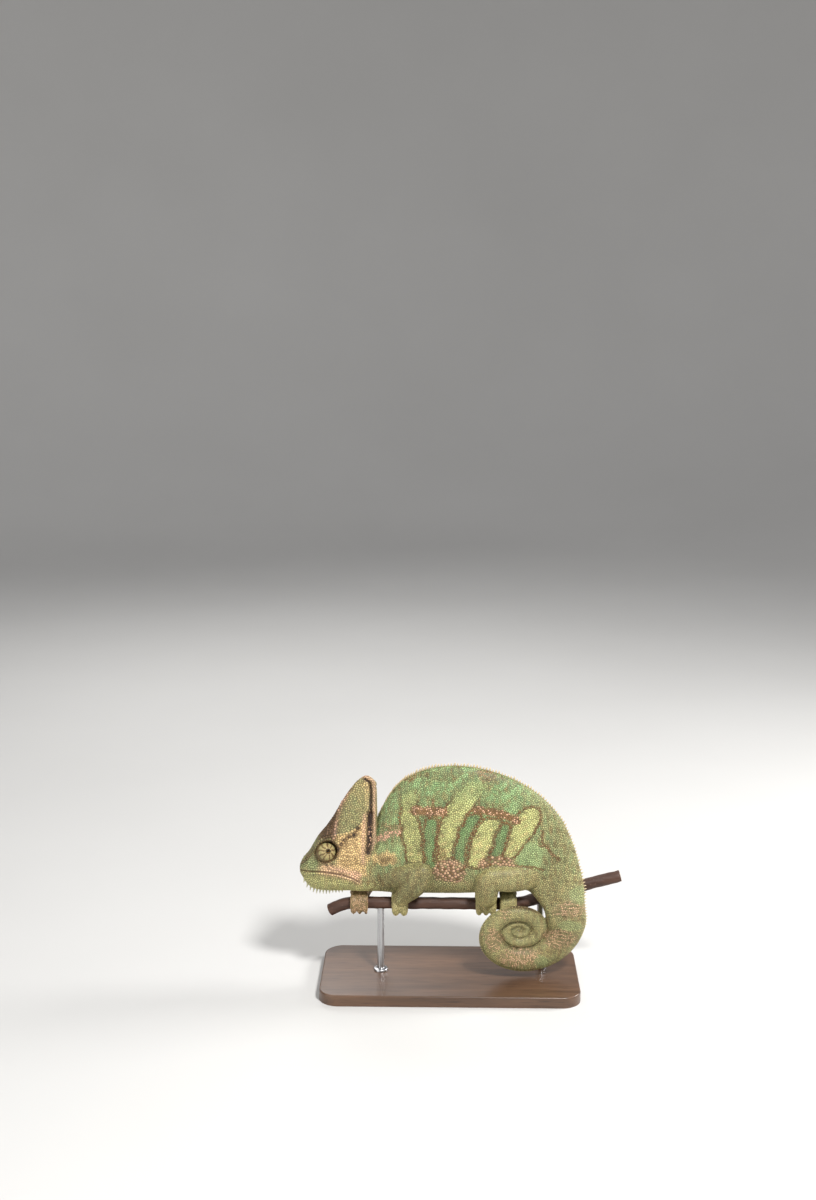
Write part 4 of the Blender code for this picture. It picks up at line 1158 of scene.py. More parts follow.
def painted(points, normals, labels, chance):
    """How much of each pigment each point has, and its tone, as two rows of four."""
    parts = part_of(labels)
    x, z = points[:, 0], points[:, 2]
    head = np.where(parts == HEAD, 1.0, 0.0)
    seam = (parts <= TRUNK) * fall(104, 114, z) * (np.abs(x - SEAM_X) < 9)
    head = head * (1 - seam) + seam * fall(-8.0, 6.0, x - SEAM_X)
    shares = ((body_paint, (parts <= TRUNK) * (1 - head)), (head_paint, head), (limb_paint, parts > TRUNK))
    paint = no_paint(len(points))
    for brush, share in shares:
        chosen = share > 0
        if not chosen.any():
            continue
        own = no_paint(int(chosen.sum()))
        brush(own, points[chosen], normals[chosen], chance[chosen])
        for pigment in PIGMENTS:
            paint[pigment][chosen] += own[pigment] * share[chosen]
    tone = 0.49 + 0.44 * (chance - 0.5) + 0.04 * ripple(points, 14, 51) + 0.05 * ripple(points, 3.2, 52)
    return two_rows(paint, tone)


def two_rows(paint, tone):
    """Pigments and tone in the order of the two colour attributes."""
    first = [paint[pigment] for pigment in PIGMENTS[:4]]
    second = [*(paint[pigment] for pigment in PIGMENTS[4:7]), tone + paint["light"]]
    return np.clip(np.stack(first, axis=1), 0, 1), np.clip(np.stack(second, axis=1), 0, 1)


def set_paint(mesh, paint):
    """Stores the two rows of pigments as colour attributes."""
    for name, values in zip(("paint_a", "paint_b"), paint):
        layer = mesh.attributes.new(name, "FLOAT_COLOR", "POINT")
        layer.data.foreach_set("color", values.astype(np.float32).ravel())


# The unwrap: each part's faces, sorted by the way they face, are laid flat side by side

CHART_GAP = 3.0
FACINGS = 6
CHARTS_A_LABEL = 40
KEYS_A_CHART = 3
MAP_SHARE = 0.98


def chart_names(normals, labels, keys):
    """A number for each way of facing of each label, and of each quarter turn of the tail."""
    way = np.argmax(np.abs(normals), axis=1)
    facing = way * 2 + (np.take_along_axis(normals, way[:, None], axis=1)[:, 0] > 0)
    turn = np.where(keys > TAIL_KEY, 1 + (keys - TAIL_KEY) // KEYS_A_CHART, 0).astype(int)
    return (labels.astype(int) * CHARTS_A_LABEL + turn) * FACINGS + facing


def flat(points, names):
    """Points in the plane that their charts face."""
    way = names % FACINGS // 2
    across = np.where(way == 0, points[:, 1], points[:, 0])
    up = np.where(way == 2, points[:, 1], points[:, 2])
    return np.stack([across, up], axis=1)


def packed(sizes, width):
    """Places for boxes on shelves of a width, and the height that they fill."""
    places, x, y, shelf = {}, 0.0, 0.0, 0.0
    for name, (wide, tall) in sorted(sizes.items(), key=lambda item: -item[1][1]):
        if x + wide > width and x > 0:
            x, y, shelf = 0.0, y + shelf + CHART_GAP, 0.0
        places[name] = (x, y)
        x += wide + CHART_GAP
        shelf = max(shelf, tall)
    return places, y + shelf


def unwrap(points, faces, normals, labels, keys):
    """Each face's chart, and each chart's shift and the common scale."""
    middle = faces[:, 0]
    names = chart_names(unit(normals[faces].sum(axis=1)), labels[middle], keys[middle])
    corners = [flat(points[faces[:, i]], names) for i in range(3)]
    low, sizes = {}, {}
    for name in np.unique(names):
        spots = np.concatenate([corner[names == name] for corner in corners])
        low[name] = spots.min(axis=0)
        sizes[name] = spots.max(axis=0) - low[name]
    width = 100.0
    places, height = packed(sizes, width)
    while height > width:
        width *= 1.04
        places, height = packed(sizes, width)
    shifts = {name: np.array(places[name]) - low[name] for name in sizes}
    order = np.array(sorted(shifts))
    table = np.array([shifts[name] for name in order])
    return names, table[np.searchsorted(order, names)], MAP_SHARE / width


def set_bake_map(mesh, uv):
    layer = mesh.uv_layers.new(name="OFBake")
    layer.uv.foreach_set("vector", uv.astype(np.float32).ravel())


# The scales: seeds spread over the skin, each grown into a low dome up to its neighbours

RIM_POINTS = 8
RIM_SHARES = ((1.0, -0.25), (0.7, 0.74), (0.0, 1.05))  # share of the radius, and of the height
SCALE_GROOVE = 0.07
LARGEST_START = 6.28  # each scale's rim starts at a random angle up to this
TRIES_A_SCALE = 6.0
NO_CLOSER = 0.82  # two seeds' least distance, as a share of their spacing
ROW_CLEARANCE = 0.8  # the same between a seed and a tubercle of a row
NEIGHBOURS = 12
SAME_SIDE = 0.2  # scales are neighbours if the cosine between their ways is larger
AHEAD = 0.12  # a scale is limited by its neighbours in the directions where the cosine is larger
NO_LIMIT = 99.0
WIDEST = 0.72  # a scale's largest radius, as a share of its spacing
SETTLE_ROUNDS, SETTLE_TURNS = 2, 12
MIDDLE_X = 12.0
ROOT_KEYS = 2  # how many keys before the tail's first one its scales begin
COIL_KEYS = 5  # how many keys after it the coil's piece begins
SPACINGS = {UPPER: 1.2, LOWER: 1.12, FOOT: 0.95}
ROWS = (  # lines in (x, z) on both sides of the head: spacing and height of their tubercles
    (SIDE_RIDGE, 2.1, 0.62),
    (FRONT_EDGE, 2.0, 0.6),
    (DOTTED_RIDGE, 2.0, 0.5),
    (CANTHUS, 1.8, 0.42),
    (tuple((x, z + 1.4) for x, z in MOUTH_LINE[1:]), 1.9, 0.26),
    (tuple((x, z - 1.4) for x, z in MOUTH_LINE[1:]), 1.9, 0.26),
)


def scale_spacing(points, labels, keys):
    """The distance from scale to scale at each point."""
    parts = part_of(labels)
    x, w = seen(points)
    spacing = 1.26 + 0.08 * ripple(points, 16, 61)
    for *place, _, _ in PATCHES[:2]:
        spacing = np.maximum(spacing, 1.25 + 0.7 * patch(x, w, *place))
    tail = np.interp(keys, (TAIL_KEY - ROOT_KEYS, TAIL_KEY, LAST_KEY), (1.26, 1.2, 0.8))
    spacing = np.where(keys > TAIL_KEY - ROOT_KEYS, tail, spacing)
    z = points[:, 2]
    face = 1.4 - 0.3 * step(0, 8, 82 - z) - 0.2 * near_line(x, z, RIM_EDGE, 2.0)
    spacing = np.where(parts == HEAD, face, spacing)
    for part, distance in SPACINGS.items():
        spacing = np.where(parts == part, distance, spacing)
    return spacing


def row_seeds(tree):
    """The tubercles along the head's ridges and lips, found by looking at the skin from each side."""
    seeds = []
    for line, spacing, height in ROWS:
        path = smooth_line(line, 60)
        length = lengths_along(path)
        for at in np.arange(spacing / 2, length[-1], spacing):
            x, z = (float(np.interp(at, length, path[:, i])) for i in (0, 1))
            for side in (-1, 1):
                place, normal, face, _ = tree.ray_cast((x, side * 40, z), (0, -side, 0))
                if place is not None:
                    seeds.append((place, normal, face, spacing, height))
    return seeds


def tried_places(skin, rng):
    """Random places on the skin, more of them where scales are small: place, way, face and spacing."""
    points, faces, normals, labels, keys = skin
    a, b, c = (points[faces[:, i]] for i in range(3))
    area = np.linalg.norm(np.cross(b - a, c - a), axis=1) / 2
    spacing = scale_spacing(points, labels, keys)[faces[:, 0]]
    share = np.cumsum(area / spacing**2)
    chosen = np.searchsorted(share, rng.random(int(share[-1] * TRIES_A_SCALE)) * share[-1])
    mix = rng.dirichlet((1, 1, 1), len(chosen))[..., None]
    places, ways = ((values[faces[chosen]] * mix).sum(axis=1) for values in (points, normals))
    return places, unit(ways), chosen, spacing[chosen]


def spread_seeds(skin, tree, rng):
    """Seeds no closer than their spacing: place, way, the skin's face, spacing, height, and whether fixed."""
    tries, facing, chosen, distances = tried_places(skin, rng)
    rows = row_seeds(tree)
    found = tree_of(tries)
    free = np.ones(len(tries), bool)
    for place, _, _, distance, _ in rows:
        for _, i, _ in found.find_range(place, distance * ROW_CLEARANCE):
            free[i] = False
    kept = []
    for i in np.flatnonzero(free):
        if not free[i]:
            continue
        kept.append(i)
        near = [j for _, j, _ in found.find_range(tries[i], distances[i] * NO_CLOSER)]
        free[[j for j in near if facing[j] @ facing[i] > SAME_SIDE]] = False
    spread = [values[kept] for values in (tries, facing, chosen, distances)]
    spread.append(0.11 + 0.085 * spread[3])
    seeds = [np.concatenate([values, np.array(column)]) for values, column in zip(spread, zip(*rows))]
    return *seeds, np.arange(len(seeds[0])) >= len(kept)


def cell_radii(places, ways, sizes, turns):
    """How far each scale reaches in each direction before it meets a neighbour, and its own two axes."""
    tree = tree_of(places)
    near = np.array([[i for _, i, _ in tree.find_n(place, NEIGHBOURS + 1)][1:] for place in places])
    first = unit(np.cross(ways, (0.31, 0.22, 0.93)))
    second = np.cross(ways, first)
    offset = places[near] - places[:, None]
    across, along = (np.einsum("nji,ni->nj", offset, axis) for axis in (first, second))
    distance = np.hypot(across, along)
    share = sizes[:, None] / (sizes[:, None] + sizes[near])
    agree = np.einsum("nji,ni->nj", ways[near], ways) > SAME_SIDE
    reach = np.where(agree, distance * share, NO_LIMIT)
    heading = np.arctan2(along, across)
    cosine = np.cos(turns[:, :, None] - heading[:, None, :])
    limit = np.where(cosine > AHEAD, reach[:, None, :] / np.maximum(cosine, AHEAD), NO_LIMIT).min(axis=2)
    return np.minimum(limit, WIDEST * sizes[:, None]), first, second


def settled(tree, seeds):
    """Moves each free scale to the middle of its own cell, so that the scales are even."""
    places, ways, under, sizes, heights, fixed = seeds
    turns = np.tile(full_turn(SETTLE_TURNS), (len(places), 1))
    for _ in range(SETTLE_ROUNDS):
        radii, first, second = cell_radii(places, ways, sizes, turns)
        weight = (radii**3 / (radii**2).sum(axis=1, keepdims=True)) * 2 / 3
        shift = (weight * np.cos(turns)).sum(axis=1)[:, None] * first
        shift = shift + (weight * np.sin(turns)).sum(axis=1)[:, None] * second
        moved = places + np.where(fixed[:, None], 0, shift)
        for i in np.flatnonzero(~fixed):
            place, _, face, _ = tree.find_nearest(moved[i])
            places[i] = place
            under[i] = face
    return places, under, sizes, heights


def scale_domes(tree, places, ways, sizes, heights, rng):
    """Points of every scale: its rings, and then its top."""
    turns = full_turn(RIM_POINTS) + rng.random((len(places), 1)) * LARGEST_START
    radii, first, second = cell_radii(places, ways, sizes, turns)
    radii = radii * (1 - 2 * SCALE_GROOVE) - SCALE_GROOVE * 0.5
    rim = (places[:, None] + radii[..., None] * (np.cos(turns)[..., None] * first[:, None]
                                                 + np.sin(turns)[..., None] * second[:, None]))
    rim = np.array([tree.find_nearest(point)[0] for point in rim.reshape(-1, 3)]).reshape(rim.shape)
    up = ways[:, None] * heights[:, None, None]
    rings = [places[:, None] + (rim - places[:, None]) * share + up * rise for share, rise in RIM_SHARES[:-1]]
    return np.concatenate([*rings, places[:, None] + up], axis=1)


def dome_faces(count):
    """The triangles of that many scales."""
    ring = np.arange(RIM_POINTS)
    after = np.roll(ring, -1)
    top = np.full(RIM_POINTS, 2 * RIM_POINTS)
    one = np.concatenate([
        np.stack([ring, after, after + RIM_POINTS], axis=1),
        np.stack([ring, after + RIM_POINTS, ring + RIM_POINTS], axis=1),
        np.stack([ring + RIM_POINTS, after + RIM_POINTS, top], axis=1),
    ])
    return repeated(one, count, 2 * RIM_POINTS + 1)


def scale_groups(places, labels, keys):
    """The scales' pieces: the head, the trunk's quarters, the tail's two lengths, and the limbs."""
    parts = part_of(labels)
    tail = (parts == TRUNK) & (keys > TAIL_KEY - ROOT_KEYS)
    trunk = (parts == TRUNK) & ~tail
    left, rear = places[:, 1] < 0, places[:, 0] > MIDDLE_X
    return {
        "scales_head": parts == HEAD,
        "scales_front_left": trunk & left & ~rear,
        "scales_front_right": trunk & ~left & ~rear,
        "scales_rear_left": trunk & left & rear,
        "scales_rear_right": trunk & ~left & rear,
        "scales_tail_root": tail & (keys < TAIL_KEY + COIL_KEYS),
        "scales_tail_coil": tail & (keys >= TAIL_KEY + COIL_KEYS),
        "scales_limbs": parts > TRUNK,
    }


# Spines and claws

SPINE_SIDES = 8
SPINE_SHARES = (0.0, 0.22, 0.45, 0.66, 0.84, 0.96)
SPINE_SINK = 0.8
SPINE_LONG, SPINE_ACROSS = 1.15, 0.8
CREST_SPACING = 2.3
CREST_HEIGHTS = ((0.0, 1.5), (0.08, 2.8), (0.3, 2.3), (0.5, 1.6), (0.8, 0.9), (1.0, 0.4))
CREST_LAST = 300.0
CREST_FIRST_KEY, CREST_READINGS = 0.12, 1500
GULAR_SPACING = 2.15
GULAR_X = (-105.0, -78.0)
GULAR_LENGTH = 4.5
BELLY_SPACING = 2.0
BELLY_X = (-50.0, 52.0)
CLAW_RADII = (1.0, 0.92, 0.74, 0.5, 0.16)
CLAW_SIDES = 12


def spine_rings(root, out, back, height, width, lean):
    """A cone that bends towards `back`, longer along the row than across it."""
    out, back = unit(out), unit(back)
    back = unit(back - out * np.dot(out, back))
    across = np.cross(out, back)
    rings = []
    for t in SPINE_SHARES:
        centre = root - out * SPINE_SINK * (1 - t) + out * height * t + back * lean * height * t * t
        radius = width * (1 - t) ** 0.75
        rings.append([
            centre + radius * (SPINE_LONG * math.cos(a) * back + SPINE_ACROSS * math.sin(a) * across)
            for a in full_turn(SPINE_SIDES)
        ])
    return rings


def spine_mesh(name, spines):
    """One piece from many spines, with each point's share of the way to the tip."""
    obj = mesh_object(name, *joined([loft(spine_rings(*spine)) for spine in spines]))
    share = np.concatenate([np.repeat(SPINE_SHARES, SPINE_SIDES), [0.0, 1.0]])
    set_values(obj.data, "tip", np.tile(share, len(spines)))
    return obj


def crest_spines(rng):
    """The row along the back, from the nape to the tail's outer edge."""
    at = np.linspace(CREST_FIRST_KEY, coil_key(CREST_LAST), CREST_READINGS)
    length = lengths_along(trunk_at(at)[:, 0:3])
    count = int(length[-1] / CREST_SPACING)
    spines = []
    for share in (np.arange(count) + 0.5) / count:
        key = float(np.interp(share, length / length[-1], at))
        here, onward = trunk_at([key, key + NEXT_KEY])
        height = float(table_at(CREST_HEIGHTS, share)) * rng.uniform(0.72, 1.15)
        out, back = unit(here[0:3] - here[3:6]), onward[0:3] - here[0:3]
        width, lean = 0.42 + 0.2 * height, rng.uniform(0.1, 0.4)
        spines.append((here[0:3] - out * COAT_DEPTH, out, back, height, width, lean))
    return spines


def throat_spines(rng):
    """The comb along the chin and throat."""
    stations = np.array(HEAD_STATIONS)
    first, last = GULAR_X
    count = int((last - first) / GULAR_SPACING)
    spines = []
    for i in range(count + 1):
        share = i / count
        x = first + share * (last - first)
        low = float(curve_through(stations[:, 0], stations[:, 1:2], [x])[0, 0])
        length = GULAR_LENGTH * (0.72 + 0.28 * math.sin(math.pi * min(1.0, share * 1.3))) * (1 - 0.3 * share)
        out = (-0.45 * (1 - share), rng.uniform(-0.05, 0.05), -1)
        root = np.array((x, 0, low + COAT_DEPTH + 0.1))
        spines.append((root, out, (1, 0, 0), length * rng.uniform(0.86, 1.05), 0.8, 0.16))
    return spines


def belly_spines(tree, rng):
    """Small pale cones along the middle of the belly."""
    spines = []
    for x in np.arange(*BELLY_X, BELLY_SPACING):
        place, normal, _, _ = tree.ray_cast((x, 0, 30), (0, 0, 1))
        if place is not None:
            spines.append((np.array(place), normal, (1, 0, 0), rng.uniform(0.7, 1.0), 0.6, 0.5))
    return spines


def claw_shapes():
    """A hooked claw at the end of each toe."""
    shapes = []
    end = math.radians(TOE_REACH[1])
    for limb in LIMBS:
        for x, side, radius in toes_of(limb):
            middle = BRANCH_RADIUS + TOE_GAP + radius
            reaches = [middle + 0.4 - 0.14 * i for i in range(len(CLAW_RADII))]
            hook = grip_arc(x, side, end + 0.14, end - CLAW_ARC, reaches)
            shapes.append(tube(hook, CLAW_RADII, CLAW_SIDES))
    return shapes


# The eyes: a ball under fused lids that form a cone with a round opening

LID_RINGS = 44
LID_SIDES = 144
LID_SCALE = 0.78
LID_RAYS = (8, 47, 84, 128, 168, 205, 238, 282, 321)
LID_PROFILE = ((0.2, 0.92), (0.21, 0.985), (0.25, 1.0), (0.33, 0.975), (0.46, 0.88), (0.62, 0.74),
               (0.78, 0.56), (0.91, 0.33), (0.99, 0.08), (1.03, -0.2), (1.0, -0.5))
LID_SCALE_HEIGHT = 0.16
LID_SCALES_FROM = 1.75
LID_THICKNESS = 0.75
BALL_ROWS, BALL_SIDES = 48, 64
BALL_CLEARANCE = 0.3
PUPIL_RADIUS = 0.98
PUPIL_BLUR = 0.06


def lid_shape(side):
    """The turret's surface, open at both ends, with shallow ring folds."""
    centre, axis, across, up = eye_axes(side)
    turns = full_turn(LID_SIDES)
    rings = []
    for wide, high in smooth_line(LID_PROFILE, LID_RINGS):
        radius = wide * LID_RADIUS + 0.09 * math.sin(high * 22) * (1 - high)
        rings.append(ring_round(centre + axis * high * LID_HEIGHT, radius, across, up, turns))
    points, faces = loft(rings)
    return points, faces[:-2 * LID_SIDES, ::-1]


def lid_paint(points, side, chance):
    """Pale wedges between dark rays, inside a brown ring."""
    centre, _, across, up = eye_axes(side)
    away, _ = from_eye(points, side)
    turn = np.degrees(np.arctan2((points - centre) @ up, (points - centre) @ across)) % 360
    turn = turn + 5 * ripple(points, 5, 71)
    gap = np.min([np.abs((turn - ray + 180) % 360 - 180) for ray in LID_RAYS], axis=0)
    ray = bump(np.radians(gap) * away, 0.26 + 0.07 * away) * step(1.9, 2.6, away)
    ring = step(5.9, 6.5, away)
    paint = no_paint(len(points))
    cover(paint, "green", np.full(len(points), 0.06))
    cover(paint, "peach", 0.2 * fall(4.0, 5.5, away))
    cover(paint, "rust", np.maximum(0.85 * ray, 0.7 * ring))
    cover(paint, "dark", np.maximum.reduce([0.5 * ray, 0.25 * ring, 0.97 * fall(1.7, 2.1, away)]))
    return two_rows(paint, 0.56 + 0.3 * (chance - 0.5))


def lid_seeds(tree, side):
    """The places of small scales in rings round the opening, and their ways."""
    centre, axis, across, up = eye_axes(side)
    seeds = []
    for away in np.arange(LID_SCALES_FROM, LID_RADIUS * 1.02, LID_SCALE * 0.86):
        count = int(2 * math.pi * away / LID_SCALE)
        for i in range(count):
            t = 2 * math.pi * (i + 0.5 * (len(seeds) % 2)) / count
            start = centre + axis * 12 + away * (math.cos(t) * across + math.sin(t) * up)
            place, normal, _, _ = tree.ray_cast(start, -axis)
            if place is not None:
                seeds.append((place, normal))
    return (np.array(column) for column in zip(*seeds))


def make_lids(side, rng):
    """The fused lids with their scales."""
    points, faces = lid_shape(side)
    tree = surface_tree(points, faces)
    places, ways = lid_seeds(tree, side)
    sizes, heights = (np.full(len(places), size) for size in (LID_SCALE, LID_SCALE_HEIGHT))
    domes = scale_domes(tree, places, ways, sizes, heights, rng)
    chance = rng.random(len(domes))
    # The bare lid between the scales is painted darker, as painted shade in its grooves.
    bare = lid_paint(points, side, np.full(len(points), -0.2))
    coat = [np.repeat(values, domes.shape[1], axis=0) for values in lid_paint(places, side, chance)]
    scales = domes.reshape(-1, 3), dome_faces(len(domes))
    lid = mesh_object(f"lids_{side}", *joined([(points, faces), scales]))
    set_paint(lid.data, [np.concatenate(pair) for pair in zip(bare, coat)])
    finish_piece(lid, hide_material(), "lid", f"lid_{side}")


def make_eyeball(side):
    """The eyeball behind the opening."""
    centre, axis, _, _ = eye_axes(side)
    middle = centre + axis * (LID_HEIGHT - EYEBALL_RADIUS - BALL_CLEARANCE - LID_THICKNESS)
    points, faces = ellipsoid(np.zeros(3), (EYEBALL_RADIUS,) * 3, BALL_ROWS, BALL_SIDES)
    turn = Vector((0, 0, 1)).rotation_difference(Vector(axis)).to_matrix()
    ball = mesh_object(f"eyeball_{side}", points @ np.array(turn).T + middle, faces)
    set_values(ball.data, "from_pupil", np.hypot(points[:, 0], points[:, 1]))
    finish_piece(ball, eye_material(), "eye", f"eye_{side}")


# The perch and the stand

BARK_RINGS = 520
BARK_SIDES = 72
BARK_STEP = 0.42  # from ring to ring
BARK_RELIEF = 0.3
KNOTS = ((60, 1.2), (210, 3.9), (330, 0.4), (455, 2.6))  # ring and angle
CUT_RINGS = ((1.0, -0.3), (1.0, 0.02), (0.97, 0.05), (0.5, 0.06), (0.02, 0.06))
COLLAR_RADIUS = 5.2
ROD_SIDES = 64


def make_branch():
    """A smooth-barked branch with faint ridges and a few knots, and its two sawn ends."""
    path = smooth_line(BRANCH_PATH, BARK_RINGS)
    along, side, up = frames_along(path)
    turns = full_turn(BARK_SIDES)
    round_it = np.cos(turns)[None, :, None] * side[:, None] + np.sin(turns)[None, :, None] * up[:, None]
    smooth = (path[:, None] + BRANCH_RADIUS * round_it).reshape(-1, 3)
    rough = 0.1 * ripple(smooth * (0.35, 1, 1), 3.2, 81) + 0.12 * ripple(smooth, 14, 82)
    for knot, angle in KNOTS:
        away = np.hypot(np.arange(BARK_RINGS)[:, None] * BARK_STEP - knot * BARK_STEP,
                        BRANCH_RADIUS * ((turns - angle + math.pi) % (2 * math.pi) - math.pi)[None])
        rough += (0.28 * bump(away, 1.6) - 0.3 * bump(away, 0.7)).ravel()
    rough = np.clip(rough, -BARK_RELIEF, BARK_RELIEF).reshape(BARK_RINGS, BARK_SIDES)
    radius = BRANCH_RADIUS - 0.22 + rough
    radius[[0, -1]] -= 0.25
    bark = mesh_object("branch_bark", *loft(path[:, None] + radius[..., None] * round_it))
    finish_piece(bark, bark_material(), "bark", "branch")
    discs = []
    for end, sign in ((0, -1), (-1, 1)):
        rings = [path[end] + sign * along[end] * high + share * (BRANCH_RADIUS - 0.55) * round_it[end]
                 for share, high in CUT_RINGS]
        discs.append(loft(rings))
    cuts = mesh_object("branch_cuts", *joined(discs), smooth=False)
    finish_piece(cuts, cut_wood_material(path), "bark")


def make_base():
    """A board with rounded corners and a softened rim."""
    bm = bmesh.new()
    bmesh.ops.create_cube(bm, size=1.0)
    bmesh.ops.scale(bm, vec=BASE_SIZE, verts=bm.verts)
    bmesh.ops.translate(bm, vec=(0, 0, BASE_SIZE[2] / 2), verts=bm.verts)
    upright = [edge for edge in bm.edges if abs(edge.verts[0].co.z - edge.verts[1].co.z) > 1]
    bmesh.ops.bevel(bm, geom=upright, offset=BASE_CORNER, segments=14, affect="EDGES", profile=0.5)
    top = [face for face in bm.faces if face.normal.z > 0.9]
    rim = [edge for edge in bm.edges if sum(face in top for face in edge.link_faces) == 1]
    bmesh.ops.bevel(bm, geom=rim, offset=BASE_EDGE, segments=6, affect="EDGES", profile=0.6)
    bmesh.ops.scale(bm, vec=(MM, MM, MM), verts=bm.verts)
    mesh = bpy.data.meshes.new("stand_board")
    bm.to_mesh(mesh)
    bm.free()
    mesh.shade_smooth()
    mesh.set_sharp_from_angle(angle=math.radians(35))
    finish_piece(placed("stand_board", mesh), walnut_material(), "walnut", "stand_base")


def make_rods():
    """A steel rod under each end of the branch, with a collar at its foot."""
    path = smooth_line(BRANCH_PATH, 400)
    low = BASE_SIZE[2]
    collar = ((ROD_RADIUS, low + 0.1), (COLLAR_RADIUS, low + 0.1), (COLLAR_RADIUS, low + 1.2),
              (4.8, low + 1.7), (3.0, low + 2.0), (ROD_RADIUS + 0.05, low + 2.4), (ROD_RADIUS, low + 2.6))
    for name, x in zip(("front", "rear"), ROD_X):
        y, z = (float(np.interp(x, path[:, 0], path[:, i])) for i in (1, 2))
        profile = (*collar, (ROD_RADIUS, z - BRANCH_RADIUS + 1.0))
        rod = mesh_object(f"stand_post_{name}", *turned(profile, ROD_SIDES, x, y))
        rod.data.set_sharp_from_angle(angle=math.radians(40))
        finish_piece(rod, steel_material(), "steel", f"stand_rod_{name}")


# Materials

SKIN_COLOURS = {
    "base": (0.42, 0.35, 0.15),
    "green": (0.255, 0.385, 0.165),
    "teal": (0.16, 0.25, 0.092),
    "yellow": (0.56, 0.545, 0.21),
    "peach": (0.80, 0.54, 0.25),
    "rust": (0.19, 0.092, 0.028),
    "pink": (0.66, 0.395, 0.25),
    "dark": (0.028, 0.013, 0.008),
}


def new_material(name, roughness, **sockets):
    """A material with a principled shader, and a helper that adds nodes to it."""
    made = bpy.data.materials.new(name)
    made.use_nodes = True
    shader = made.node_tree.nodes["Principled BSDF"]
    shader.inputs["Roughness"].default_value = roughness
    for socket, value in sockets.items():
        shader.inputs[socket.replace("_", " ")].default_value = value

    def add(kind, inputs=None, **settings):
        node = made.node_tree.nodes.new("ShaderNode" + kind)
        for key, value in settings.items():
            setattr(node, key, value)
        for socket, value in (inputs or {}).items():
            if isinstance(value, bpy.types.NodeSocket):
                made.node_tree.links.new(value, node.inputs[socket])
            else:
                node.inputs[socket].default_value = value
        return node

    def join(value, socket):
        made.node_tree.links.new(value, shader.inputs[socket])

    return made, add, join


def mixed(add, factor, first, second, blend="MIX"):
    """The colour socket of a mix of two colours."""
    node = add("Mix", data_type="RGBA", blend_type=blend)
    tree = node.id_data
    for socket, value in ((0, factor), (6, first), (7, second)):
        if isinstance(value, bpy.types.NodeSocket):
            tree.links.new(value, node.inputs[socket])
        else:
            node.inputs[socket].default_value = value if socket == 0 else (*value[:3], 1.0)
    return node.outputs[2]


def ranged(add, value, low, high, start=0.0, end=1.0):
    """A value brought from the range between start and end to the one between low and high."""
    return add("MapRange", {"Value": value, "From Min": start, "From Max": end,
                            "To Min": low, "To Max": high}).outputs[0]


def object_noise(add, scale, detail=2.0, stretch=(1, 1, 1)):
    """Fine noise that keeps its place on the object, drawn out along some directions."""
    coordinates = add("TexCoord").outputs["Object"]
    mapping = add("Mapping", {"Vector": coordinates, "Scale": stretch})
    return add("TexNoise", {"Vector": mapping.outputs[0], "Scale": scale, "Detail": detail}).outputs[0]


def bumped(add, join, height, strength, distance):
    """Fine relief, too small for the mesh."""
    node = add("Bump", {"Height": height, "Strength": strength, "Distance": distance})
    join(node.outputs[0], "Normal")


def hide_material(name="scales", shade=1.0):
    """The pigments in their order, each scale's own tone, and a fine grain."""
    if name in bpy.data.materials:
        return bpy.data.materials[name]
    made, add, join = new_material(name, 0.5, Specular_IOR_Level=0.4)
    first, second = (add("Attribute", attribute_name=layer) for layer in ("paint_a", "paint_b"))
    first_parts = add("SeparateColor", {"Color": first.outputs["Color"]}).outputs
    second_parts = add("SeparateColor", {"Color": second.outputs["Color"]}).outputs
    amounts = {"green": first_parts[0], "teal": first_parts[1], "yellow": first_parts[2],
               "peach": second_parts[2], "rust": first.outputs["Alpha"], "pink": second_parts[0],
               "dark": second_parts[1]}
    # A shade below 1 darkens every pigment; the skin's is painted shade in the grooves between scales.
    shades = {pigment: tuple(shade * value for value in colour) for pigment, colour in SKIN_COLOURS.items()}
    colour = shades["base"]
    for pigment, amount in amounts.items():
        colour = mixed(add, amount, colour, shades[pigment])
    tone = ranged(add, second.outputs["Alpha"], 0.4, 1.6)
    grain = ranged(add, object_noise(add, 1400.0), 0.88, 1.12)
    value = add("Math", {0: tone, 1: grain}, operation="MULTIPLY").outputs[0]
    join(add("HueSaturation", {"Color": colour, "Value": value}).outputs[0], "Base Color")
    join(ranged(add, object_noise(add, 700.0), 0.4, 0.62), "Roughness")
    bumped(add, join, object_noise(add, 3200.0, 3.0), 0.25, 0.00006)
    return made


def spine_material(name, root, tip):
    """Horn that turns from one colour to another towards the tip."""
    made, add, join = new_material(name, 0.45)
    share = add("Attribute", attribute_name="tip").outputs["Fac"]
    grain = ranged(add, object_noise(add, 500.0), -0.25, 0.25)
    mix = add("Math", {0: share, 1: grain}, operation="ADD", use_clamp=True).outputs[0]
    join(mixed(add, mix, root, tip), "Base Color")
    bumped(add, join, object_noise(add, 2600.0, 2.0), 0.2, 0.00005)
    return made


def claw_material():
    made, add, join = new_material("horn", 0.3)
    fine = object_noise(add, 500.0, 3.0, (1, 1, 4))
    join(mixed(add, fine, (0.09, 0.06, 0.035), (0.34, 0.25, 0.15)), "Base Color")
    return made


def eye_material():
    """A black pupil in a thin gold ring, under a wet surface."""
    if "eye_ball" in bpy.data.materials:
        return bpy.data.materials["eye_ball"]
    made, add, join = new_material("eye_ball", 0.06, Coat_Weight=1.0, Coat_Roughness=0.03)
    away = add("Attribute", attribute_name="from_pupil").outputs["Fac"]
    edge = ranged(add, away, 0.0, 1.0, PUPIL_RADIUS - PUPIL_BLUR, PUPIL_RADIUS + PUPIL_BLUR)
    gold = mixed(add, object_noise(add, 2500.0, 3.0), (0.32, 0.16, 0.03), (0.62, 0.38, 0.1))
    join(mixed(add, edge, (0.004, 0.003, 0.003), gold), "Base Color")
    return made


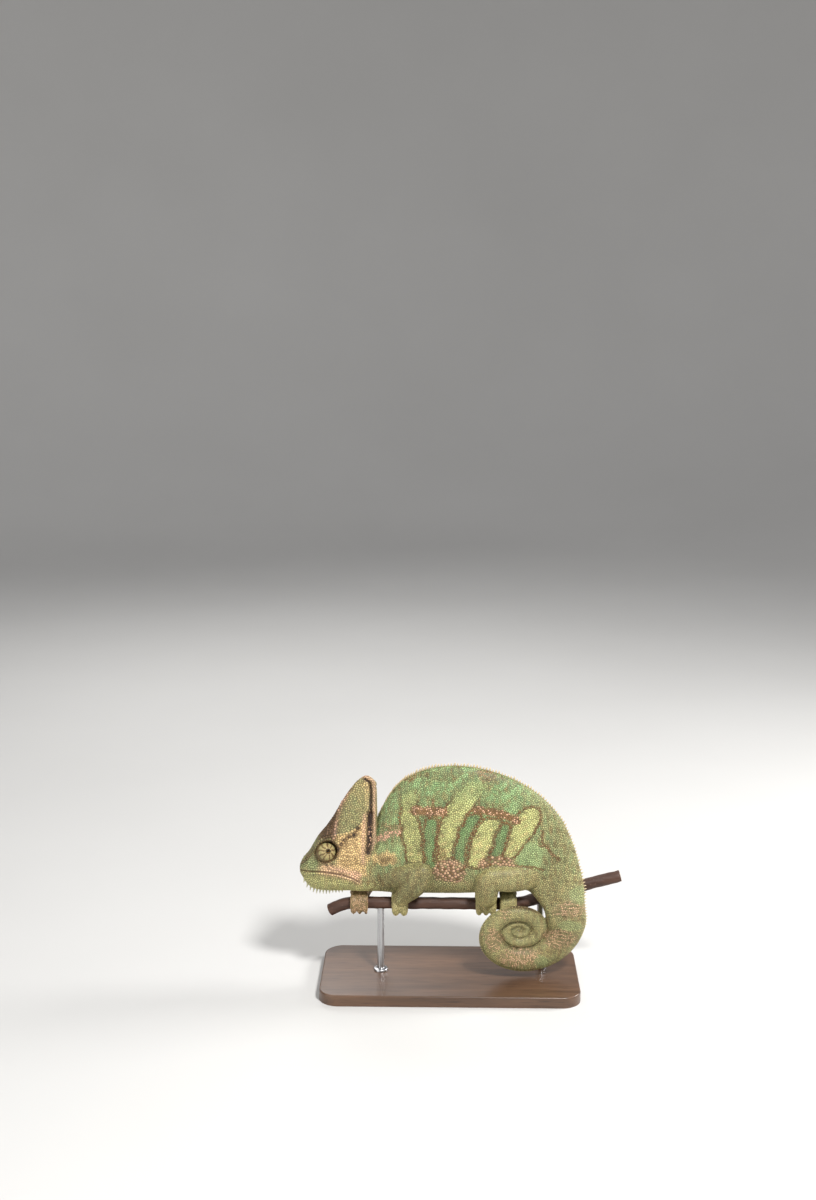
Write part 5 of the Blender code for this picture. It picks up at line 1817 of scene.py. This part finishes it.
def bark_material():
    """Dark reddish brown, streaked along the branch, with a few pale spots."""
    made, add, join = new_material("bark_skin", 0.62)
    streaks = object_noise(add, 160.0, 6.0, (0.25, 1, 1))
    spots = object_noise(add, 700.0, 3.0)
    brown = mixed(add, streaks, (0.022, 0.01, 0.006), (0.11, 0.046, 0.026))
    pale = ranged(add, spots, 0.0, 0.5, 0.6, 0.75)
    join(mixed(add, pale, brown, (0.17, 0.095, 0.06)), "Base Color")
    bumped(add, join, streaks, 0.6, 0.0003)
    return made


def cut_wood_material(path):
    """Pale wood with rings round each end's own middle."""
    made, add, join = new_material("sawn_wood", 0.6)
    coordinates = add("TexCoord").outputs["Object"]
    end = ranged(add, add("SeparateXYZ", {0: coordinates}).outputs[0], 0.0, 1.0, -MM, MM)
    middle = add("Mix", {0: end, 4: tuple(path[0] * MM), 5: tuple(path[-1] * MM)}, data_type="VECTOR")
    away = add("VectorMath", {0: coordinates, 1: middle.outputs[1]}, operation="DISTANCE").outputs["Value"]
    wavy = add("Math", {0: away, 1: 9000.0}, operation="MULTIPLY").outputs[0]
    ring = add("Math", {0: wavy}, operation="SINE").outputs[0]
    share = ranged(add, ring, 0.15, 0.85, -1.0)
    join(mixed(add, share, (0.42, 0.27, 0.15), (0.62, 0.45, 0.27)), "Base Color")
    return made


def walnut_material():
    """Brown wood with its grain along the board, and fine dark pores."""
    made, add, join = new_material("walnut_board", 0.38, Coat_Weight=0.25, Coat_Roughness=0.25)
    coordinates = add("TexCoord").outputs["Object"]
    mapping = add("Mapping", {"Vector": coordinates, "Scale": (1.0, 14.0, 14.0)})
    wave = add("TexNoise", {"Vector": mapping.outputs[0], "Scale": 14.0, "Detail": 6.0, "Distortion": 0.6})
    pores = object_noise(add, 900.0, 2.0, (0.06, 1, 1))
    wood = mixed(add, wave.outputs[0], (0.035, 0.018, 0.010), (0.19, 0.10, 0.055))
    dark = ranged(add, pores, 0.5, 0.0, 0.3, 0.45)
    join(mixed(add, dark, wood, (0.015, 0.008, 0.005)), "Base Color")
    bumped(add, join, pores, 0.15, 0.0001)
    return made


def steel_material():
    """Steel brushed along the rod."""
    made, add, join = new_material("brushed_steel", 0.3, Metallic=1.0)
    lines = object_noise(add, 600.0, 3.0, (1, 1, 0.04))
    join(mixed(add, lines, (0.42, 0.42, 0.43), (0.62, 0.62, 0.63)), "Base Color")
    join(ranged(add, lines, 0.22, 0.4), "Roughness")
    return made


def floor_material():
    made, add, join = new_material("pale_floor", 0.8)
    join(mixed(add, object_noise(add, 3.0, 3.0), (0.60, 0.59, 0.57), (0.66, 0.65, 0.63)), "Base Color")
    return made


# The studio

# The floor's radii and heights in metres, as it sweeps up into a wall
SWEEP = ((0.01, 0.0), (0.6, 0.0), (1.6, 0.0), (2.1, 0.06), (2.5, 0.28), (2.75, 0.7), (2.85, 1.4), (2.85, 2.6))
LIGHTS = (  # place, size and power
    ("key", (0.4, -0.75, 1.1), 0.24, 20.0),
    ("rim", (0.95, 0.25, 0.6), 0.35, 9.0),
    ("fill", (-0.95, -0.8, 0.4), 0.7, 4.5),
    ("back", (-0.3, 1.0, 0.9), 0.7, 5.0),
)
AIM = (0.008, 0.0, 0.09)
CAMERA_PLACE = (-0.0065, -1.0907, 0.5055)
CAMERA_TURN = (78.5042, 0.0, 1.24825)
CAMERA_LENS = 48.0
SENSOR_HEIGHT = 36.0
FLOOR_RINGS, FLOOR_SIDES = 40, 96
SKY_COLOUR, SKY_STRENGTH = (0.92, 0.94, 1.0, 1), 0.32


def make_floor():
    """A pale floor that sweeps up into a round wall."""
    points, faces = turned(smooth_line(SWEEP, FLOOR_RINGS) * METRE, FLOOR_SIDES)
    floor = mesh_object("studio_floor", points, faces[:-FLOOR_SIDES])
    floor.data.materials.append(floor_material())


def make_lights():
    """Four round lamps aimed at the animal, and a dim even sky."""
    for name, place, size, power in LIGHTS:
        lamp = bpy.data.lights.new(name, "AREA")
        lamp.shape, lamp.size, lamp.energy = "DISK", size, power
        holder = placed(name, lamp)
        holder.location = place
        holder.rotation_euler = (Vector(AIM) - Vector(place)).to_track_quat("-Z", "Y").to_euler()
    world = bpy.data.worlds.new("studio")
    world.use_nodes = True
    sky = world.node_tree.nodes["Background"].inputs
    sky["Color"].default_value, sky["Strength"].default_value = SKY_COLOUR, SKY_STRENGTH
    bpy.context.scene.world = world


def make_camera():
    """The camera at the photograph's viewing angle."""
    data = bpy.data.cameras.new("camera")
    data.sensor_fit, data.sensor_height, data.lens = "VERTICAL", SENSOR_HEIGHT, CAMERA_LENS
    data.clip_start, data.clip_end = 0.01, 50.0
    camera = placed("camera", data)
    camera.location = CAMERA_PLACE
    camera.rotation_euler = [math.radians(angle) for angle in CAMERA_TURN]
    bpy.context.scene.camera = camera
    bpy.context.scene.view_settings.view_transform = "Standard"


# Making it all

FLESH_NODES = [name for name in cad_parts
               if not name.startswith(("stand_", "eye_", "lid_")) and name != "branch"]
PATCH = 0.003  # a scale's size on the unwrap
SKIN_CHANCE = 0.45
# The skin's colours are multiplied by this, as painted shade in the grooves between the scales.
SKIN_SHADE = 0.4


def make_skin(skin, charts):
    """The skin between and under the scales, darker than they are: painted shade in the grooves."""
    points, faces, normals, labels, _ = skin
    names, shifts, size = charts
    body = mesh_object("skin", points, faces)
    set_paint(body.data, painted(points, normals, labels, np.full(len(points), SKIN_CHANCE)))
    uv = np.stack([flat(points[faces[:, i]], names) + shifts for i in range(3)], axis=1) * size
    set_bake_map(body.data, uv.reshape(-1, 2))
    finish_piece(body, hide_material("skin", SKIN_SHADE), "skin_green", *FLESH_NODES)


def make_coat(skin, charts, tree, rng):
    """The scales over the skin, in eight pieces."""
    _, faces, normals, labels, keys = skin
    names, shifts, size = charts
    places, under, sizes, heights = settled(tree, spread_seeds(skin, tree, rng))
    ways = unit(normals[faces[under]].sum(axis=1))
    domes = scale_domes(tree, places, ways, sizes, heights, rng)
    corner = faces[under, 0]
    paint = painted(places, ways, labels[corner], rng.random(len(places)))
    roots = (flat(places, names[under]) + shifts[under]) * size
    for name, chosen in scale_groups(places, labels[corner], keys[corner]).items():
        make_scales(name, domes[chosen], [values[chosen] for values in paint], roots[chosen])


def make_scales(name, domes, paint, roots):
    """One piece of scales, each with its own colour and its own patch on the unwrap."""
    faces = dome_faces(len(domes))
    obj = mesh_object(name, domes.reshape(-1, 3), faces)
    set_paint(obj.data, [np.repeat(values, domes.shape[1], axis=0) for values in paint])
    turns = full_turn(RIM_POINTS)
    round_it = np.stack([np.cos(turns), np.sin(turns)], axis=1) * PATCH / 2
    local = np.concatenate([round_it, round_it * 0.6, [[0, 0]]])
    uv = (roots[:, None] + local[None]).reshape(-1, 2)[faces]
    set_bake_map(obj.data, uv.reshape(-1, 2))
    finish_piece(obj, hide_material(), "skin_green")


def make_spines(tree, rng):
    """The crest, the comb of the throat, the row of the belly, and the claws."""
    orange = spine_material("crest_horn", (0.24, 0.19, 0.08), (0.78, 0.62, 0.38))
    pale = spine_material("throat_horn", (0.42, 0.42, 0.24), (0.72, 0.68, 0.48))
    finish_piece(spine_mesh("crest", crest_spines(rng)), orange, "skin_green")
    finish_piece(spine_mesh("throat_comb", throat_spines(rng)), pale, "skin_head")
    finish_piece(spine_mesh("belly_row", belly_spines(tree, rng)), pale, "skin_green")
    claws = mesh_object("claws", *joined(claw_shapes()))
    finish_piece(claws, claw_material(), "skin_limb")


def main():
    rng = np.random.default_rng(SEED)
    skin = skin_surface()
    charts = unwrap(*skin)
    tree = surface_tree(skin[0], skin[1])
    make_skin(skin, charts)
    make_coat(skin, charts, tree, rng)
    make_spines(tree, rng)
    for side in EYE_AXES:
        make_lids(side, rng)
        make_eyeball(side)
    make_branch()
    make_base()
    make_rods()
    make_floor()
    make_lights()
    make_camera()


main()
